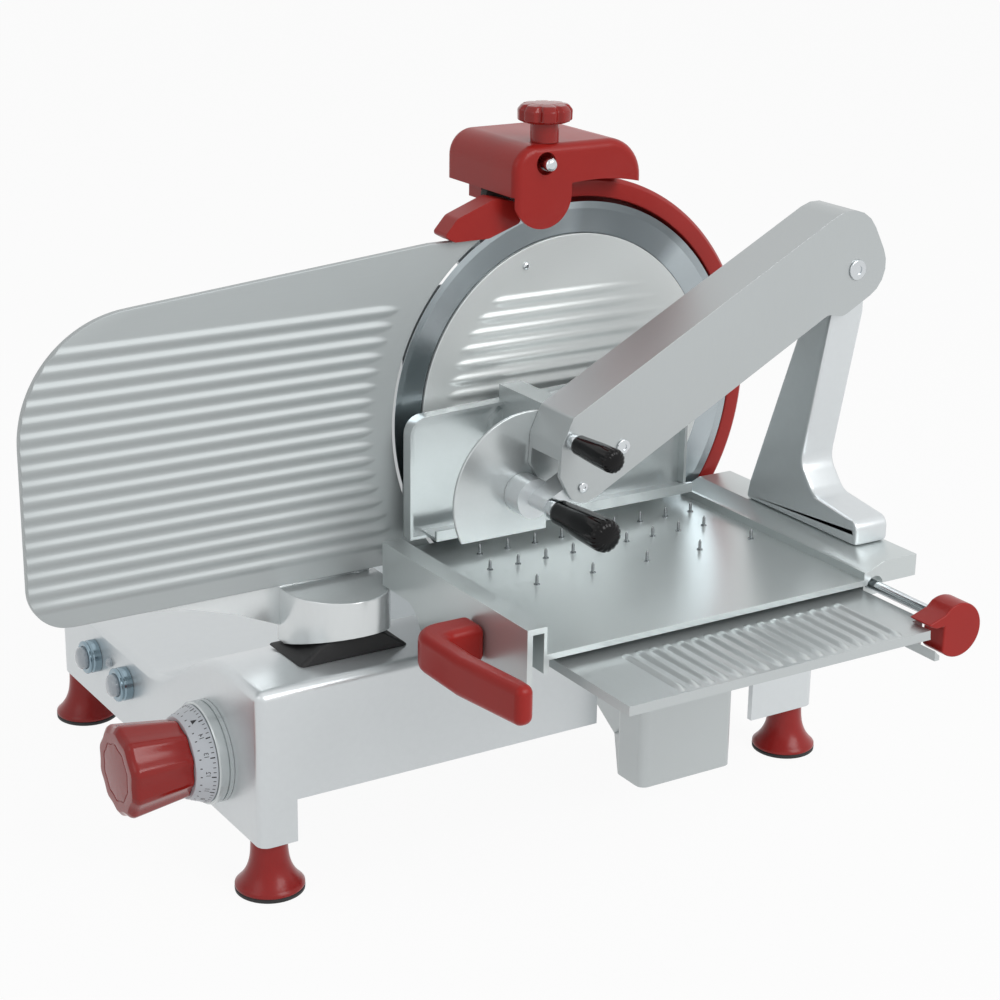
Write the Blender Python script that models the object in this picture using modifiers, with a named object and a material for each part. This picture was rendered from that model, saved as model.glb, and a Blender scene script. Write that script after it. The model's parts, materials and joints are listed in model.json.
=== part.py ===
"""Ham slicer with an upright blade, a sliding meat table and a press arm.

Units are metres. Every place below is measured from the centre of the blade's cutting circle:
x runs along the carriage to the right, y runs from the meat table towards the slices, z is up.
The empty called slicer_origin puts that frame over the middle of the footprint, feet on z = 0.
"""

import math

import bmesh
import bpy
from mathutils import Matrix, Vector

# General clearances and shared sizes
SEAT = 0.0003  # gap between faces that touch on the real machine
OVERRUN = 0.002  # how far a cutter runs past what it cuts
RUNNING = 0.001  # gap round a piece that turns or slides
MERGE = 0.0001
FINE, ROUND, COARSE = 40, 20, 12  # sides of large, middling and small round pieces

# Blade and cover plate
BLADE_RADIUS = 0.175
BLADE_RECESS = 0.0035  # how far the ring falls back from the edge to the cover
BLADE_WEB_BACK = 0.011
BLADE_WEB = 0.005
BLADE_BACK_BEVEL = 0.015
BLADE_EDGE = 0.0006
COVER_INSET = 0.0282  # how far the cover plate stays inside the blade's edge
COVER_THICKNESS = 0.0035
COVER_FACE = 0.0015  # the cover plate's face lies this far behind the edge
COVER_RIB_COUNT = 8
COVER_RIB_TOP = 0.060
COVER_RIB_HEIGHT = 0.0016
COVER_RIB_MARGIN = 0.026

# Spindle, bearing, pulleys and motor
SPINDLE_RADIUS = 0.014
SPINDLE_END = 0.100
HUB_RADIUS = 0.040
HUB_THICKNESS = 0.006
TIE_RADIUS = 0.004
BEARING_RADIUS = 0.026
BEARING_WIDTH = 0.016
PULLEY_RADIUS = 0.045
PULLEY_FRONT = 0.075
PULLEY_WIDTH = 0.018
PULLEY_FLANGE = 0.003
BELT_THICKNESS = 0.004
BELT_WIDTH = 0.011
MOTOR_PULLEY_RADIUS = 0.020
MOTOR_X, MOTOR_Z = 0.120, -0.088
MOTOR_RADIUS = 0.055
MOTOR_FRONT, MOTOR_BACK = 0.108, 0.190
MOTOR_SHAFT = 0.007
TIE_KNOB_RADIUS = 0.018
TIE_KNOB_LENGTH = 0.026
TIE_KNOB_SHARE = 0.9  # where its rounded edge starts

# Base casting
BASE_LEFT, BASE_RIGHT = -0.346, 0.233
BASE_FRONT, BASE_REAR = -0.081, 0.356
BASE_TOP = -0.176
BASE_LOW_TOP = -0.240  # the rear part, where slices are laid down
BASE_REAR_EDGE = -0.258
BASE_FALL_START, BASE_FALL_END = -0.012, 0.150
BASE_BOTTOM = -0.314
SKIRT_BOTTOM = -0.276
LEFT_LEG, RIGHT_LEG = 0.034, 0.074
BASE_WALL = 0.006
BASE_CORNER = 0.009
PLATFORM_LEFT, PLATFORM_RIGHT = -0.098, 0.222
PLATFORM_FRONT, PLATFORM_BACK = 0.016, 0.212
PLATFORM_TOP = -0.182
BOTTOM_COVER_FRONT = 0.030
BOTTOM_COVER = 0.003
BOTTOM_COVER_SETBACK = 0.006  # leaves the pressed buttons room

# Cord gland at the back
GLAND_X, GLAND_Z = 0.195, -0.286
GLAND_RADIUS = 0.006
GLAND_FLANGE = 0.010
GLAND_REACH = 0.006
GLAND_BORE = 0.0035

# Feet
FOOT_HEIGHT = 0.0477
FOOT_RADIUS = 0.0295
FOOT_NECK = 0.0155
FOOT_PAD = 0.004
# Each pair: the share of the fall from the base, the share of the flare from neck to rim
FOOT_FLARE_SHARES = ((0.0, 0.0), (0.30, 0.05), (0.55, 0.20), (0.78, 0.52), (0.90, 0.86), (0.95, 1.0))
FOOT_LEFT_X, FOOT_RIGHT_X = -0.3285, 0.2165
FOOT_FRONT_Y, FOOT_REAR_Y = -0.0600, 0.3420

# Slice thickness control
DIAL_Y, DIAL_Z = 0.009, -0.260
DIAL_RADIUS = 0.044
DIAL_RING_LENGTH = 0.013
SCALE_LENGTH = 0.017
SCALE_SMALL_RADIUS = 0.0355
KNOB_LENGTH = 0.056
KNOB_INNER_RADIUS = 0.0335
KNOB_OUTER_RADIUS = 0.0405
KNOB_SIDES = 10
SHAFT_RADIUS = 0.006
CAM_RADIUS = 0.020
CAM_THICKNESS = 0.008
CAM_X = -0.262

# Buttons
BUTTON_RADIUS = 0.0105
BUTTON_BEZEL_RADIUS = 0.0155
BUTTON_BEZEL_LENGTH = 0.012
BUTTON_LENGTH = 0.019
BUTTON_Z = -0.268
START_Y, STOP_Y = 0.192, 0.266
LAMP_Y, LAMP_Z = 0.230, -0.262
LAMP_RADIUS = 0.004
LAMP_LENGTH = 0.005

# Gauge plate
GAUGE_FACE = -0.002
GAUGE_LEFT = -0.5025
GAUGE_BOTTOM = -0.1205
GAUGE_TOP_SHARE = 0.8771  # of the blade's radius, up to the plate's level top
GAUGE_TOP_FALL = 0.031  # from there to the left corner
GAUGE_LEVEL_INSET = 0.033  # from the blade's left end to where the level top starts
GAUGE_THICKNESS = 0.006
GAUGE_BIG_CORNER, GAUGE_SMALL_CORNER = 0.100, 0.035
GAUGE_CLEARANCE = 0.0035  # between the plate's concave edge and the blade
GAUGE_TRAVEL = 0.016
GAUGE_RIB_COUNT = 17
GAUGE_RIB_PITCH = 0.01257
GAUGE_RIB_LOWEST = -0.0995
GAUGE_RIB_HEIGHT = 0.0024
GAUGE_RIB_WIDTH = 0.0118
GAUGE_RIB_MARGIN = 0.0230  # the shortest run of plain plate between a rib and the blade

# Gauge support, its seal and its guide
SUPPORT_X = -0.2375
SUPPORT_HALF_WIDTH = 0.0455
SUPPORT_DEPTH = 0.0600
SUPPORT_TOP = -0.1240
SUPPORT_BACK_BOTTOM = -0.1730
SUPPORT_SLOPE = 0.30
NECK_WIDTH = 0.034
NECK_FRONT, NECK_BACK = -0.046, -0.018
NECK_BOTTOM = -0.228
SEAL_HALF_WIDTH, SEAL_FRONT, SEAL_BACK = 0.0510, -0.0500, 0.0120
GUIDE_RADIUS = 0.008
GUIDE_Z = -0.214
WING_LEFT = -0.417
WING_THICKNESS = 0.006
WING_SAG_SHARES = ((0.0, 0.0), (0.31, 0.16), (0.53, 0.40), (0.79, 0.79), (1.0, 1.0))

# Ring guard and housing behind the blade
GUARD_CLEARANCE = 0.0035
GUARD_WIDTH = 0.0175
GUARD_FRONT = 0.003
GUARD_START, GUARD_END = -34.0, 90.0
HOUSING_FRONT = 0.030
HOUSING_THICKNESS = 0.007
HOUSING_INSET = 0.003  # how far the rim stays inside the blade's edge
HOUSING_DISC = 0.105
HOUSING_BOSS = 0.036
HOUSING_RIM_START, HOUSING_RIM_END = -33.0, 127.0
PEDESTAL_LEFT, PEDESTAL_RIGHT = -0.080, 0.120
PEDESTAL_DEPTH = 0.030
CASE_LEFT, CASE_RIGHT = -0.090, 0.214
CASE_FRONT, CASE_BACK = 0.062, 0.206
CASE_TOP = 0.058
CASE_WALL = 0.003
CASE_CORNER = 0.020
DEFLECTOR_LEFT = -0.152
DEFLECTOR_BACK = 0.098
DEFLECTOR_BOTTOM, DEFLECTOR_TOP = -0.110, 0.110
DEFLECTOR_THICKNESS = 0.002

# Sharpener
HOOD_LEFT, HOOD_RIGHT = -0.078, 0.050
HOOD_FRONT, HOOD_BACK = -0.030, 0.070
HOOD_LIFT = 0.015  # from the blade's top to the hood's lower edge
HOOD_HEIGHT = 0.042
HOOD_WALL = 0.003
HOOD_SHOULDER = 0.034
HOOD_ROUND = 0.009
HOOD_ARCH_RISE = 0.0095
TONGUE_X = -0.0498
TONGUE_RADIUS = 0.0276
HOLE_RADIUS = 0.0095
HOLE_X = -0.0478
HOLE_RISE = 0.0266
PIN_RADIUS = 0.0055
PIN_REACH = 0.010
SHARP_KNOB_X, SHARP_KNOB_Y = -0.040, -0.014
SHARP_KNOB_RADIUS = 0.023
SHARP_KNOB_HEIGHT = 0.018
SHARP_KNOB_LOBES = 8
SHARP_STEM_RADIUS = 0.011
SHARP_STEM_HEIGHT = 0.014
POST_WIDTH, POST_DEPTH = 0.022, 0.012
POST_LAP = 0.033  # how far the post goes down below the blade's top
POST_CAP = 0.006
GRIND_RADIUS, GRIND_WIDTH = 0.020, 0.009
GRIND_X_SHARE = 0.377  # of the blade's radius, to the left of its axis
GRIND_Y = 0.0205
GRIND_DROP = 0.006
HONE_RADIUS, HONE_WIDTH = 0.011, 0.006
HONE_Y = -0.009
STONE_AXLE = 0.0030

# Carriage
CARRIAGE_LEFT, CARRIAGE_RIGHT = -0.176, 0.128
CARRIAGE_FRONT, CARRIAGE_BACK = -0.351, -0.084
CARRIAGE_TOP = -0.1185
CARRIAGE_THICKNESS = 0.008
CARRIAGE_RIB_COUNT = 19
CARRIAGE_RIB_PITCH = 0.012
CARRIAGE_RIB_FIRST = -0.134
CARRIAGE_RIB_HEIGHT = 0.0016
CARRIAGE_RIB_WIDTH = 0.0095
CARRIAGE_RIB_BACK = -0.274
FLANGE_THICKNESS = 0.005
FLANGE_DROP = 0.028
STEM_LEFT, STEM_RIGHT = 0.002, 0.102
STEM_FRONT, STEM_BACK = -0.126, -0.0845
STEM_BOTTOM = -0.326
STEM_SOLE = 0.036
STEM_INNER_FRONT, STEM_INNER_BACK = -0.064, -0.020
STEM_CORNER = 0.008
RAIL_Y, RAIL_Z = -0.042, -0.252
RAIL_RADIUS = 0.010
BUSH_WALL = 0.005
BUSH_LENGTH = 0.080
ROD_X, ROD_Z = 0.1348, -0.1136
ROD_RADIUS = 0.0047
ROD_BACK = -0.060
ROD_LUG_WALL = 0.003
END_BLOCK_X, END_BLOCK_Z = 0.1435, -0.1200
END_BLOCK_RADIUS = 0.027
END_BLOCK_FRONT, END_BLOCK_BACK = -0.353, -0.329
END_BLOCK_ROUND = 0.003

# Meat table
TABLE_LEFT, TABLE_RIGHT = -0.208, 0.179
TABLE_FRONT, TABLE_BACK = -0.262, -0.006
TABLE_WALL_BACK = -0.038
TRAY_TOP = -0.107
TRAY_THICKNESS = 0.005
WALL_TOP, WALL_BOTTOM = -0.084, -0.150
WALL_THICKNESS = 0.005
WALL_CAP = 0.018
WALL_HIGH_BOTTOM = -0.1222
WALL_STEP_Y = -0.088
WALL_STEP_ROUND = 0.022
LEDGE_LEFT = 0.131
LEDGE_SLOPE = 0.012
LEDGE_TOP, LEDGE_BOTTOM = -0.0935, -0.1125
RAIL_BLOCK_HEIGHT = 0.012
SPIKE_ROWS = ((-0.050, -0.1205, 9), (-0.086, -0.1325, 9), (-0.134, -0.1170, 5))
SPIKE_PITCH = 0.0277
SPIKE_BACK_PITCH = 0.0553
SPIKE_SPREAD_ROW = 2
SPIKE_RADIUS = 0.0014
SPIKE_HEIGHT = 0.0095

# Table handle
HANDLE_TOP, HANDLE_BOTTOM = -0.100, -0.132
HANDLE_LEFT = -0.263
HANDLE_BACK, HANDLE_FRONT = -0.175, -0.320
HANDLE_ROOT = 0.029
HANDLE_BAR = 0.019
HANDLE_TIP = 0.015
HANDLE_TIP_X = -0.237
HANDLE_ROUND = 0.004

# Arm column
COLUMN_LEFT, COLUMN_RIGHT = 0.143, 0.179
COLUMN_FRONT, COLUMN_BACK = -0.2250, -0.0745
COLUMN_TOE = 0.021
COLUMN_TOE_SHARE = 0.8
COLUMN_NECK_FRONT, COLUMN_NECK_BACK = -0.1760, -0.1430
COLUMN_WAIST_Y, COLUMN_WAIST_Z = -0.1480, -0.0400
COLUMN_NECK_Z = 0.096
COLUMN_ROUND = 0.004

# Press arm
PIVOT_X, PIVOT_Z = 0.1619, 0.1353
ARM_SLOPE = 27.8  # degrees below level, towards the blade
ARM_FRONT, ARM_BACK = -0.183, -0.136
ARM_WALL = 0.004
ARM_ABOVE, ARM_BELOW = 0.0533, 0.0182
ARM_LENGTH = 0.320
ARM_HEEL = 0.0315
ARM_NOSE_RUN = 0.032  # along the arm, from the end of its top to its tip
ARM_PIN_RADIUS = 0.007
ARM_PIN_HEAD = 0.0085
ARM_PIN_HEAD_HEIGHT = 0.0015

# Press plate and what holds it
PRESS_LEFT, PRESS_RIGHT = -0.173, 0.115
PRESS_BOTTOM = -0.0945
PRESS_TOP_LEFT, PRESS_TOP_RIGHT = 0.0125, 0.0230
PRESS_BACK = -0.011
PRESS_RIM = 0.012
PRESS_SHEET = 0.003
PRESS_CORNER = 0.016
PRESS_SHELF = 0.027
PRESS_LIP = 0.010
# The place of the bolt: beyond the arm's end and above the arm's line
PRESS_PIN_AHEAD, PRESS_PIN_ABOVE = -0.0600, 0.0040
SPACER_RADIUS = 0.011
SPACER_FLARE = 0.024
BOLT_RADIUS = 0.0045
BOLT_HEAD = 0.0062
GUARD_PLATE_RADIUS = 0.070
# Each measured from the main grip's axis
GUARD_PLATE_SIDE, GUARD_PLATE_DROP = 0.0072, 0.0033
GUARD_PLATE_FOOT = 0.0351
GUARD_PLATE_EDGE = 0.0247
GUARD_PLATE_THICKNESS = 0.003
# Each pair is a place: beyond the arm's end and above the arm's line
GRIP_AHEAD, GRIP_ABOVE = 0.0165, -0.0023
LINK_HUB = 0.0165
LINK_WIDTH = 0.013
LINK_THICKNESS = 0.010
LINK_SCREW_AHEAD, LINK_SCREW_ABOVE = -0.0137, -0.0031
LINK_SCREW_HEAD = 0.0042
GRIP_START, GRIP_END = -0.156, -0.260
GRIP_SMALL, GRIP_LARGE = 0.0100, 0.0133
FERRULE_RADIUS = 0.0085
KNOB_GRIP_AHEAD, KNOB_GRIP_ABOVE = -0.0224, 0.0367
KNOB_GRIP_END = -0.243
KNOB_GRIP_SMALL, KNOB_GRIP_LARGE = 0.0068, 0.0098

# More sizes of hidden and small features
BOSS_SHARE = 0.8  # how deep in the wall a foot's boss starts
GUIDE_BLOCK = 0.018
GUIDE_BLOCK_FRONT, GUIDE_BLOCK_BACK = 0.006, 0.018
DIAL_EDGE_ROUND = 0.002
KNOB_EDGE_ROUND = 0.004
BUTTON_EDGE_ROUND = 0.002
RIB_TIP_STEPS = 3
GAUGE_RIB_SWEEP_SHARE = 0.85
SUPPORT_STEPS = 16
SUPPORT_ROUND = 0.004
WING_BOTTOM = -0.172
WING_TOP = -0.040
SEAL_TOP = -0.150
SEAL_ROUND = 0.014
BOSS_FRONT, BOSS_BACK = 0.0185, 0.072
MOTOR_ROUND = 0.006
CRADLE_SHARE = 0.75
CRADLE_INSET = 0.012
PEDESTAL_TOP = -0.070
LUG_SPAN_SHARE, LUG_ROOT_SHARE = 1.074, 0.914
LUG_START, LUG_END = 117.4, 120.6
WEDGE_FRONT, WEDGE_BACK = -0.0105, 0.0105
WEDGE_RELIEF_FRONT = -0.0012
GUARD_ROUND = 0.002
GUARD_WEB_LAP = 0.013
GUARD_WEB = 0.004
DEFLECTOR_ROOT = -0.075
SOCKET_WALL = 0.004
KNOB_SCREW = 0.004
KNOB_SCREW_REACH = 0.0034
LOBE_SHARE = 0.14
LOBE_STEPS = 4
LOBE_ROUND = 0.004
CARRIAGE_RIB_MARGIN = 0.004
LUG_LENGTH = 0.036
RIDGE_LEFT, RIDGE_RIGHT = 0.1225, 0.1270
RIDGE_TOP = -0.100
TABLE_ROUND = 0.0008
RAIL_BLOCK_FRONT, RAIL_BLOCK_BACK = -0.255, -0.150
LEFT_STRIP_X, RIGHT_STRIP_X = -0.150, 0.090
STRIP_WIDTH = 0.020
STRIP_FRONT, STRIP_BACK = -0.205, -0.095
SPIKE_SIDES = 6
SPIKE_TIP_SHARE = 0.15
HANDLE_BEND = 0.024
COLUMN_HEAD = 0.156
COLUMN_BEND = 0.020
COLUMN_SHOE_Y = -0.168
ARM_HEEL_DROP = 0.0285
ARM_ROUND = 0.012
ARM_NOSE_STEP = 0.017
ARM_NOSE_TIP, ARM_NOSE_BEND = 0.013, 0.0388
ARM_NOSE_ROUND = 0.005
ARM_EDGE_ROUND = 0.0015
GRIP_SCREW = 0.003
FERRULE_LENGTH = 0.012
# Each pair: the share of the grip's length, the share of its swelling
GRIP_SHARES = ((0.0, 0.0), (0.10, 0.25), (0.45, 0.55), (0.80, 0.95), (0.93, 1.0), (0.98, 0.8), (1.0, 0.3))
PRESS_EDGE_ROUND = 0.0008
PRESS_SHELF_LEFT, PRESS_SHELF_RIGHT = -0.156, 0.111
SPACER_DROP = 0.030
SPACER_FLARE_DEPTH = 0.006
SPACER_BORE = 0.012

# Sizes that follow from others
COVER_RADIUS = BLADE_RADIUS - COVER_INSET
GAUGE_TOP_RIGHT = BLADE_RADIUS * GAUGE_TOP_SHARE
GAUGE_TOP_LEFT = GAUGE_TOP_RIGHT - GAUGE_TOP_FALL
GAUGE_LEVEL_X = GAUGE_LEVEL_INSET - BLADE_RADIUS
GUARD_INNER = BLADE_RADIUS + GUARD_CLEARANCE
GUARD_OUTER = GUARD_INNER + GUARD_WIDTH
GUARD_WEB_INNER = BLADE_RADIUS - GUARD_WEB_LAP
HOUSING_RIM = BLADE_RADIUS - HOUSING_INSET
LUG_SPAN = BLADE_RADIUS * LUG_SPAN_SHARE
LUG_ROOT = BLADE_RADIUS * LUG_ROOT_SHARE
HOOD_BOTTOM = BLADE_RADIUS + HOOD_LIFT
HOOD_TOP = HOOD_BOTTOM + HOOD_HEIGHT
HOOD_ARCH = HOOD_BOTTOM + HOOD_ARCH_RISE
HOLE_Z = HOOD_BOTTOM + HOLE_RISE
POST_BOTTOM = BLADE_RADIUS - POST_LAP
POST_TOP = HOOD_TOP - POST_CAP
GRIND_X = -BLADE_RADIUS * GRIND_X_SHARE
GRIND_Z = HOOD_BOTTOM - GRIND_DROP
ARM_NOSE = ARM_LENGTH - ARM_NOSE_RUN
ARM_NOSE_MIDDLE = ARM_LENGTH - ARM_NOSE_TIP
BLADE_HEIGHT = FOOT_HEIGHT + SEAT - BASE_BOTTOM  # of the blade's axis over the ground
ORIGIN_X = -(GAUGE_LEFT + FOOT_RIGHT_X + FOOT_RADIUS) / 2
ORIGIN_Y = -(END_BLOCK_FRONT + FOOT_REAR_Y + FOOT_RADIUS) / 2
POST_FRONT = HOUSING_FRONT + HOUSING_THICKNESS + SEAT
POST_MIDDLE = POST_FRONT + POST_DEPTH / 2
CROWN_RADIUS = (COLUMN_RIGHT - COLUMN_LEFT) / 2
ROD_LUG = ROD_RADIUS + ROD_LUG_WALL
ROD_BORE = ROD_RADIUS + SEAT
ROD_GROOVE = ROD_LUG + RUNNING
# The left wedge's corners: the angle round the blade, the share of its radius, the rounding
WEDGE_CORNERS = (
    (129.84, 1.1908, 0.003),
    (128.56, 1.1276, 0.002),
    (120.39, 1.0222, 0.006),
    (109.68, 1.0013, 0.004),
    (109.28, 1.1078, 0.006),
    (114.39, 1.1764, 0.010),
    (124.81, 1.2111, 0.008),
)

# Finishes: base colour, metallic value and roughness
FINISHES = {
    "cast_aluminium": ((0.62, 0.64, 0.65), 0.85, 0.38),
    "satin_aluminium": ((0.70, 0.72, 0.73), 0.90, 0.28),
    "polished_steel": ((0.66, 0.68, 0.70), 1.00, 0.14),
    "chrome": ((0.80, 0.81, 0.83), 1.00, 0.08),
    "red_plastic": ((0.46, 0.035, 0.028), 0.00, 0.32),
    "black_plastic": ((0.012, 0.012, 0.013), 0.00, 0.22),
    "black_rubber": ((0.020, 0.020, 0.021), 0.00, 0.65),
    "white_scale": ((0.82, 0.84, 0.87), 0.00, 0.45),
    "clear_button": ((0.70, 0.76, 0.80), 0.00, 0.20),
    "grinding_stone": ((0.060, 0.058, 0.055), 0.00, 0.90),
    "motor_grey": ((0.20, 0.21, 0.22), 0.30, 0.50),
    }


def clear_scene():
    for obj in list(bpy.data.objects):
        bpy.data.objects.remove(obj, do_unlink=True)


def make_collection(name):
    collection = bpy.data.collections.new(name)
    bpy.context.scene.collection.children.link(collection)
    return collection


def own_material(part, finish):
    """A Principled material of the part's own, in the colour of its finish."""
    colour, metallic, roughness = FINISHES[finish]
    material = bpy.data.materials.new(part + "_" + finish)
    material.use_nodes = True
    shader = material.node_tree.nodes["Principled BSDF"]
    shader.inputs["Base Color"].default_value = (*colour, 1.0)
    shader.inputs["Metallic"].default_value = metallic
    shader.inputs["Roughness"].default_value = roughness
    material.diffuse_color = (*colour, 1.0)
    return material


# Each entry gives where a flat outline's two directions and its depth point
OUTLINE_FRAMES = {
    "x": Matrix(((0, 0, 1, 0), (1, 0, 0, 0), (0, 1, 0, 0), (0, 0, 0, 1))),
    "y": Matrix(((1, 0, 0, 0), (0, 0, -1, 0), (0, 1, 0, 0), (0, 0, 0, 1))),
    "z": Matrix.Identity(4),
}
# A turned piece's own z axis points along the axis named
TURN_FRAMES = {
    "x": Matrix(((0, 0, 1, 0), (0, 1, 0, 0), (-1, 0, 0, 0), (0, 0, 0, 1))),
    "y": Matrix(((1, 0, 0, 0), (0, 0, 1, 0), (0, -1, 0, 0), (0, 0, 0, 1))),
    "z": Matrix.Identity(4),
}


def place(obj, finish=None, origin=(0.0, 0.0, 0.0)):
    """Adds a mesh object to the slicer, or to the cutters, with its origin where it turns."""
    shift = Vector(origin)
    obj.data.transform(Matrix.Translation(-shift))
    obj.location = shift
    obj.parent = ORIGIN
    if finish:
        obj.data.materials.append(own_material(obj.name, finish))
        obj.data.shade_smooth()
        obj.data.set_sharp_from_angle(angle=math.radians(35))
        PARTS.objects.link(obj)
    else:
        obj.hide_render = True
        obj.display_type = "WIRE"
        CUTTERS.objects.link(obj)
    return obj


def mesh_object(name, build):
    """A mesh object from a function that fills a bmesh."""
    shape = bmesh.new()
    build(shape)
    bmesh.ops.recalc_face_normals(shape, faces=shape.faces)
    mesh = bpy.data.meshes.new(name)
    shape.to_mesh(mesh)
    shape.free()
    return bpy.data.objects.new(name, mesh)


def box(name, x, y, z):
    """A box between two values on each axis."""

    def build(shape):
        bmesh.ops.create_cube(shape, size=1.0)
        size = (x[1] - x[0], y[1] - y[0], z[1] - z[0])
        middle = ((x[0] + x[1]) / 2, (y[0] + y[1]) / 2, (z[0] + z[1]) / 2)
        bmesh.ops.scale(shape, vec=size, verts=shape.verts)
        bmesh.ops.translate(shape, vec=middle, verts=shape.verts)

    return mesh_object(name, build)


def rod(name, axis, centre, start, end, radius, sides=COARSE, end_radius=None):
    """A cylinder or cone along an axis; centre gives its place on the other two axes."""
    last = radius if end_radius is None else end_radius

    def build(shape):
        bmesh.ops.create_cone(
            shape, cap_ends=True, segments=sides, radius1=radius, radius2=last, depth=end - start
        )
        frame = TURN_FRAMES[axis]
        at = {
            "x": (0.0, centre[0], centre[1]),
            "y": (centre[0], 0.0, centre[1]),
            "z": (centre[0], centre[1], 0.0),
        }[axis]
        along = frame.to_3x3() @ Vector((0.0, 0.0, (start + end) / 2))
        bmesh.ops.transform(shape, matrix=frame, verts=shape.verts)
        bmesh.ops.translate(shape, vec=Vector(at) + along, verts=shape.verts)

    return mesh_object(name, build)


def arc(centre, radius, start, end, steps):
    """Points on a circle from one angle to another, in degrees."""
    angles = [math.radians(start + (end - start) * i / steps) for i in range(steps + 1)]
    return [(centre[0] + radius * math.cos(a), centre[1] + radius * math.sin(a)) for a in angles]


def rounded(corners, steps=5):
    """The outline through corners given as (a, b, radius), each rounded by its radius."""
    points = []
    for i, (a, b, radius) in enumerate(corners):
        here = Vector((a, b))
        before = Vector(corners[i - 1][:2]) - here
        after = Vector(corners[(i + 1) % len(corners)][:2]) - here
        opening = before.angle(after)
        if radius <= 0 or opening > math.pi - MERGE:
            points.append((a, b))
            continue
        reach = radius / math.tan(opening / 2)
        start = here + before.normalized() * reach
        end = here + after.normalized() * reach
        middle = here + (before.normalized() + after.normalized()).normalized() * (
            radius / math.sin(opening / 2)
        )
        turn = (start - middle).angle_signed(end - middle)
        for k in range(steps + 1):
            spoke = start - middle
            spoke.rotate(Matrix.Rotation(-turn * k / steps, 2))
            points.append(tuple(middle + spoke))
    return points


def outline_solid(name, points, axis, start, end):
    """A flat outline made solid from start to end along an axis, through a filled 2D curve."""
    curve = bpy.data.curves.new(name, "CURVE")
    curve.dimensions = "2D"
    curve.fill_mode = "BOTH"
    curve.extrude = abs(end - start) / 2
    spline = curve.splines.new("POLY")
    spline.points.add(len(points) - 1)
    for point, (a, b) in zip(spline.points, points):
        point.co = (a, b, 0.0, 1.0)
    spline.use_cyclic_u = True
    drawn = bpy.data.objects.new(name + "_curve", curve)
    bpy.context.scene.collection.objects.link(drawn)
    bpy.context.view_layer.update()
    evaluated = drawn.evaluated_get(bpy.context.evaluated_depsgraph_get())
    mesh = bpy.data.meshes.new_from_object(evaluated)
    bpy.data.objects.remove(drawn, do_unlink=True)
    shape = bmesh.new()
    shape.from_mesh(mesh)
    bmesh.ops.remove_doubles(shape, verts=shape.verts, dist=MERGE / 10)
    middle = (start + end) / 2
    offset = {"x": (middle, 0.0, 0.0), "y": (0.0, middle, 0.0), "z": (0.0, 0.0, middle)}[axis]
    bmesh.ops.transform(shape, matrix=OUTLINE_FRAMES[axis], verts=shape.verts)
    bmesh.ops.translate(shape, vec=offset, verts=shape.verts)
    bmesh.ops.recalc_face_normals(shape, faces=shape.faces)
    shape.to_mesh(mesh)
    shape.free()
    mesh.name = name
    return bpy.data.objects.new(name, mesh)


def band(name, outer, inner, axis, start, end):
    """A closed strap between two loops with the same number of points."""
    frame = OUTLINE_FRAMES[axis]
    depth = {"x": (start, end), "y": (-start, -end), "z": (start, end)}[axis]

    def build(shape):
        rows = [
            [shape.verts.new(frame @ Vector((a, b, d))) for a, b in points]
            for points, d in ((outer, depth[0]), (outer, depth[1]), (inner, depth[1]), (inner, depth[0]))
        ]
        count = len(outer)
        for row, after in zip(rows, rows[1:] + rows[:1]):
            for i in range(count):
                j = (i + 1) % count
                shape.faces.new((row[i], row[j], after[j], after[i]))

    return mesh_object(name, build)


def swept(name, section, start, end, steps):
    """A section of (radius, y) swept round the blade's axis from one angle to another."""

    def build(shape):
        rows = []
        for i in range(steps + 1):
            angle = math.radians(start + (end - start) * i / steps)
            rows.append(
                [shape.verts.new((r * math.cos(angle), y, r * math.sin(angle))) for r, y in section]
            )
        count = len(section)
        for row, after in zip(rows, rows[1:]):
            for i in range(count):
                j = (i + 1) % count
                shape.faces.new((row[i], row[j], after[j], after[i]))
        shape.faces.new(rows[0])
        shape.faces.new(rows[-1])

    return mesh_object(name, build)


def turned(name, profile, axis, centre, sides=ROUND, ring=False, finish=None):
    """A profile of (radius, place along the axis), top to bottom, turned by a Screw modifier."""
    at = {
        "x": (0.0, centre[0], centre[1]),
        "y": (centre[0], 0.0, centre[1]),
        "z": (centre[0], centre[1], 0.0),
    }[axis]
    mesh = bpy.data.meshes.new(name)
    count = len(profile)
    edges = [(i, i + 1) for i in range(count - 1)]
    if ring:
        edges.append((count - 1, 0))
    mesh.from_pydata([(radius, 0.0, along) for radius, along in profile], edges, [])
    obj = bpy.data.objects.new(name, mesh)
    screw = obj.modifiers.new("Turn", "SCREW")
    screw.axis = "Z"
    screw.angle = 2 * math.pi
    screw.steps = sides
    screw.render_steps = sides
    screw.use_merge_vertices = True
    screw.merge_threshold = MERGE / 10
    screw.use_smooth_shade = True
    obj.matrix_local = Matrix.Translation(at) @ TURN_FRAMES[axis]
    obj.parent = ORIGIN
    if finish:
        obj.data.materials.append(own_material(obj.name, finish))
        PARTS.objects.link(obj)
    else:
        obj.hide_render = True
        obj.display_type = "WIRE"
        CUTTERS.objects.link(obj)
    return obj


def combine(target, others, operation):
    """Adds a Boolean modifier for each other object and files it with the cutters."""
    for other in others:
        modifier = target.modifiers.new(operation.title() + " " + other.name, "BOOLEAN")
        modifier.operation = operation
        modifier.object = other
        if other.name not in CUTTERS.objects:
            place(other)
    return target


def cut(target, *others):
    return combine(target, others, "DIFFERENCE")


def join(target, *others):
    return combine(target, others, "UNION")


def soften(obj, width, segments=2, angle=40):
    """A Bevel modifier on the edges sharper than an angle."""
    bevel = obj.modifiers.new("Soften", "BEVEL")
    bevel.width = width
    bevel.segments = segments
    bevel.limit_method = "ANGLE"
    bevel.angle_limit = math.radians(angle)
    return obj


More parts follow.
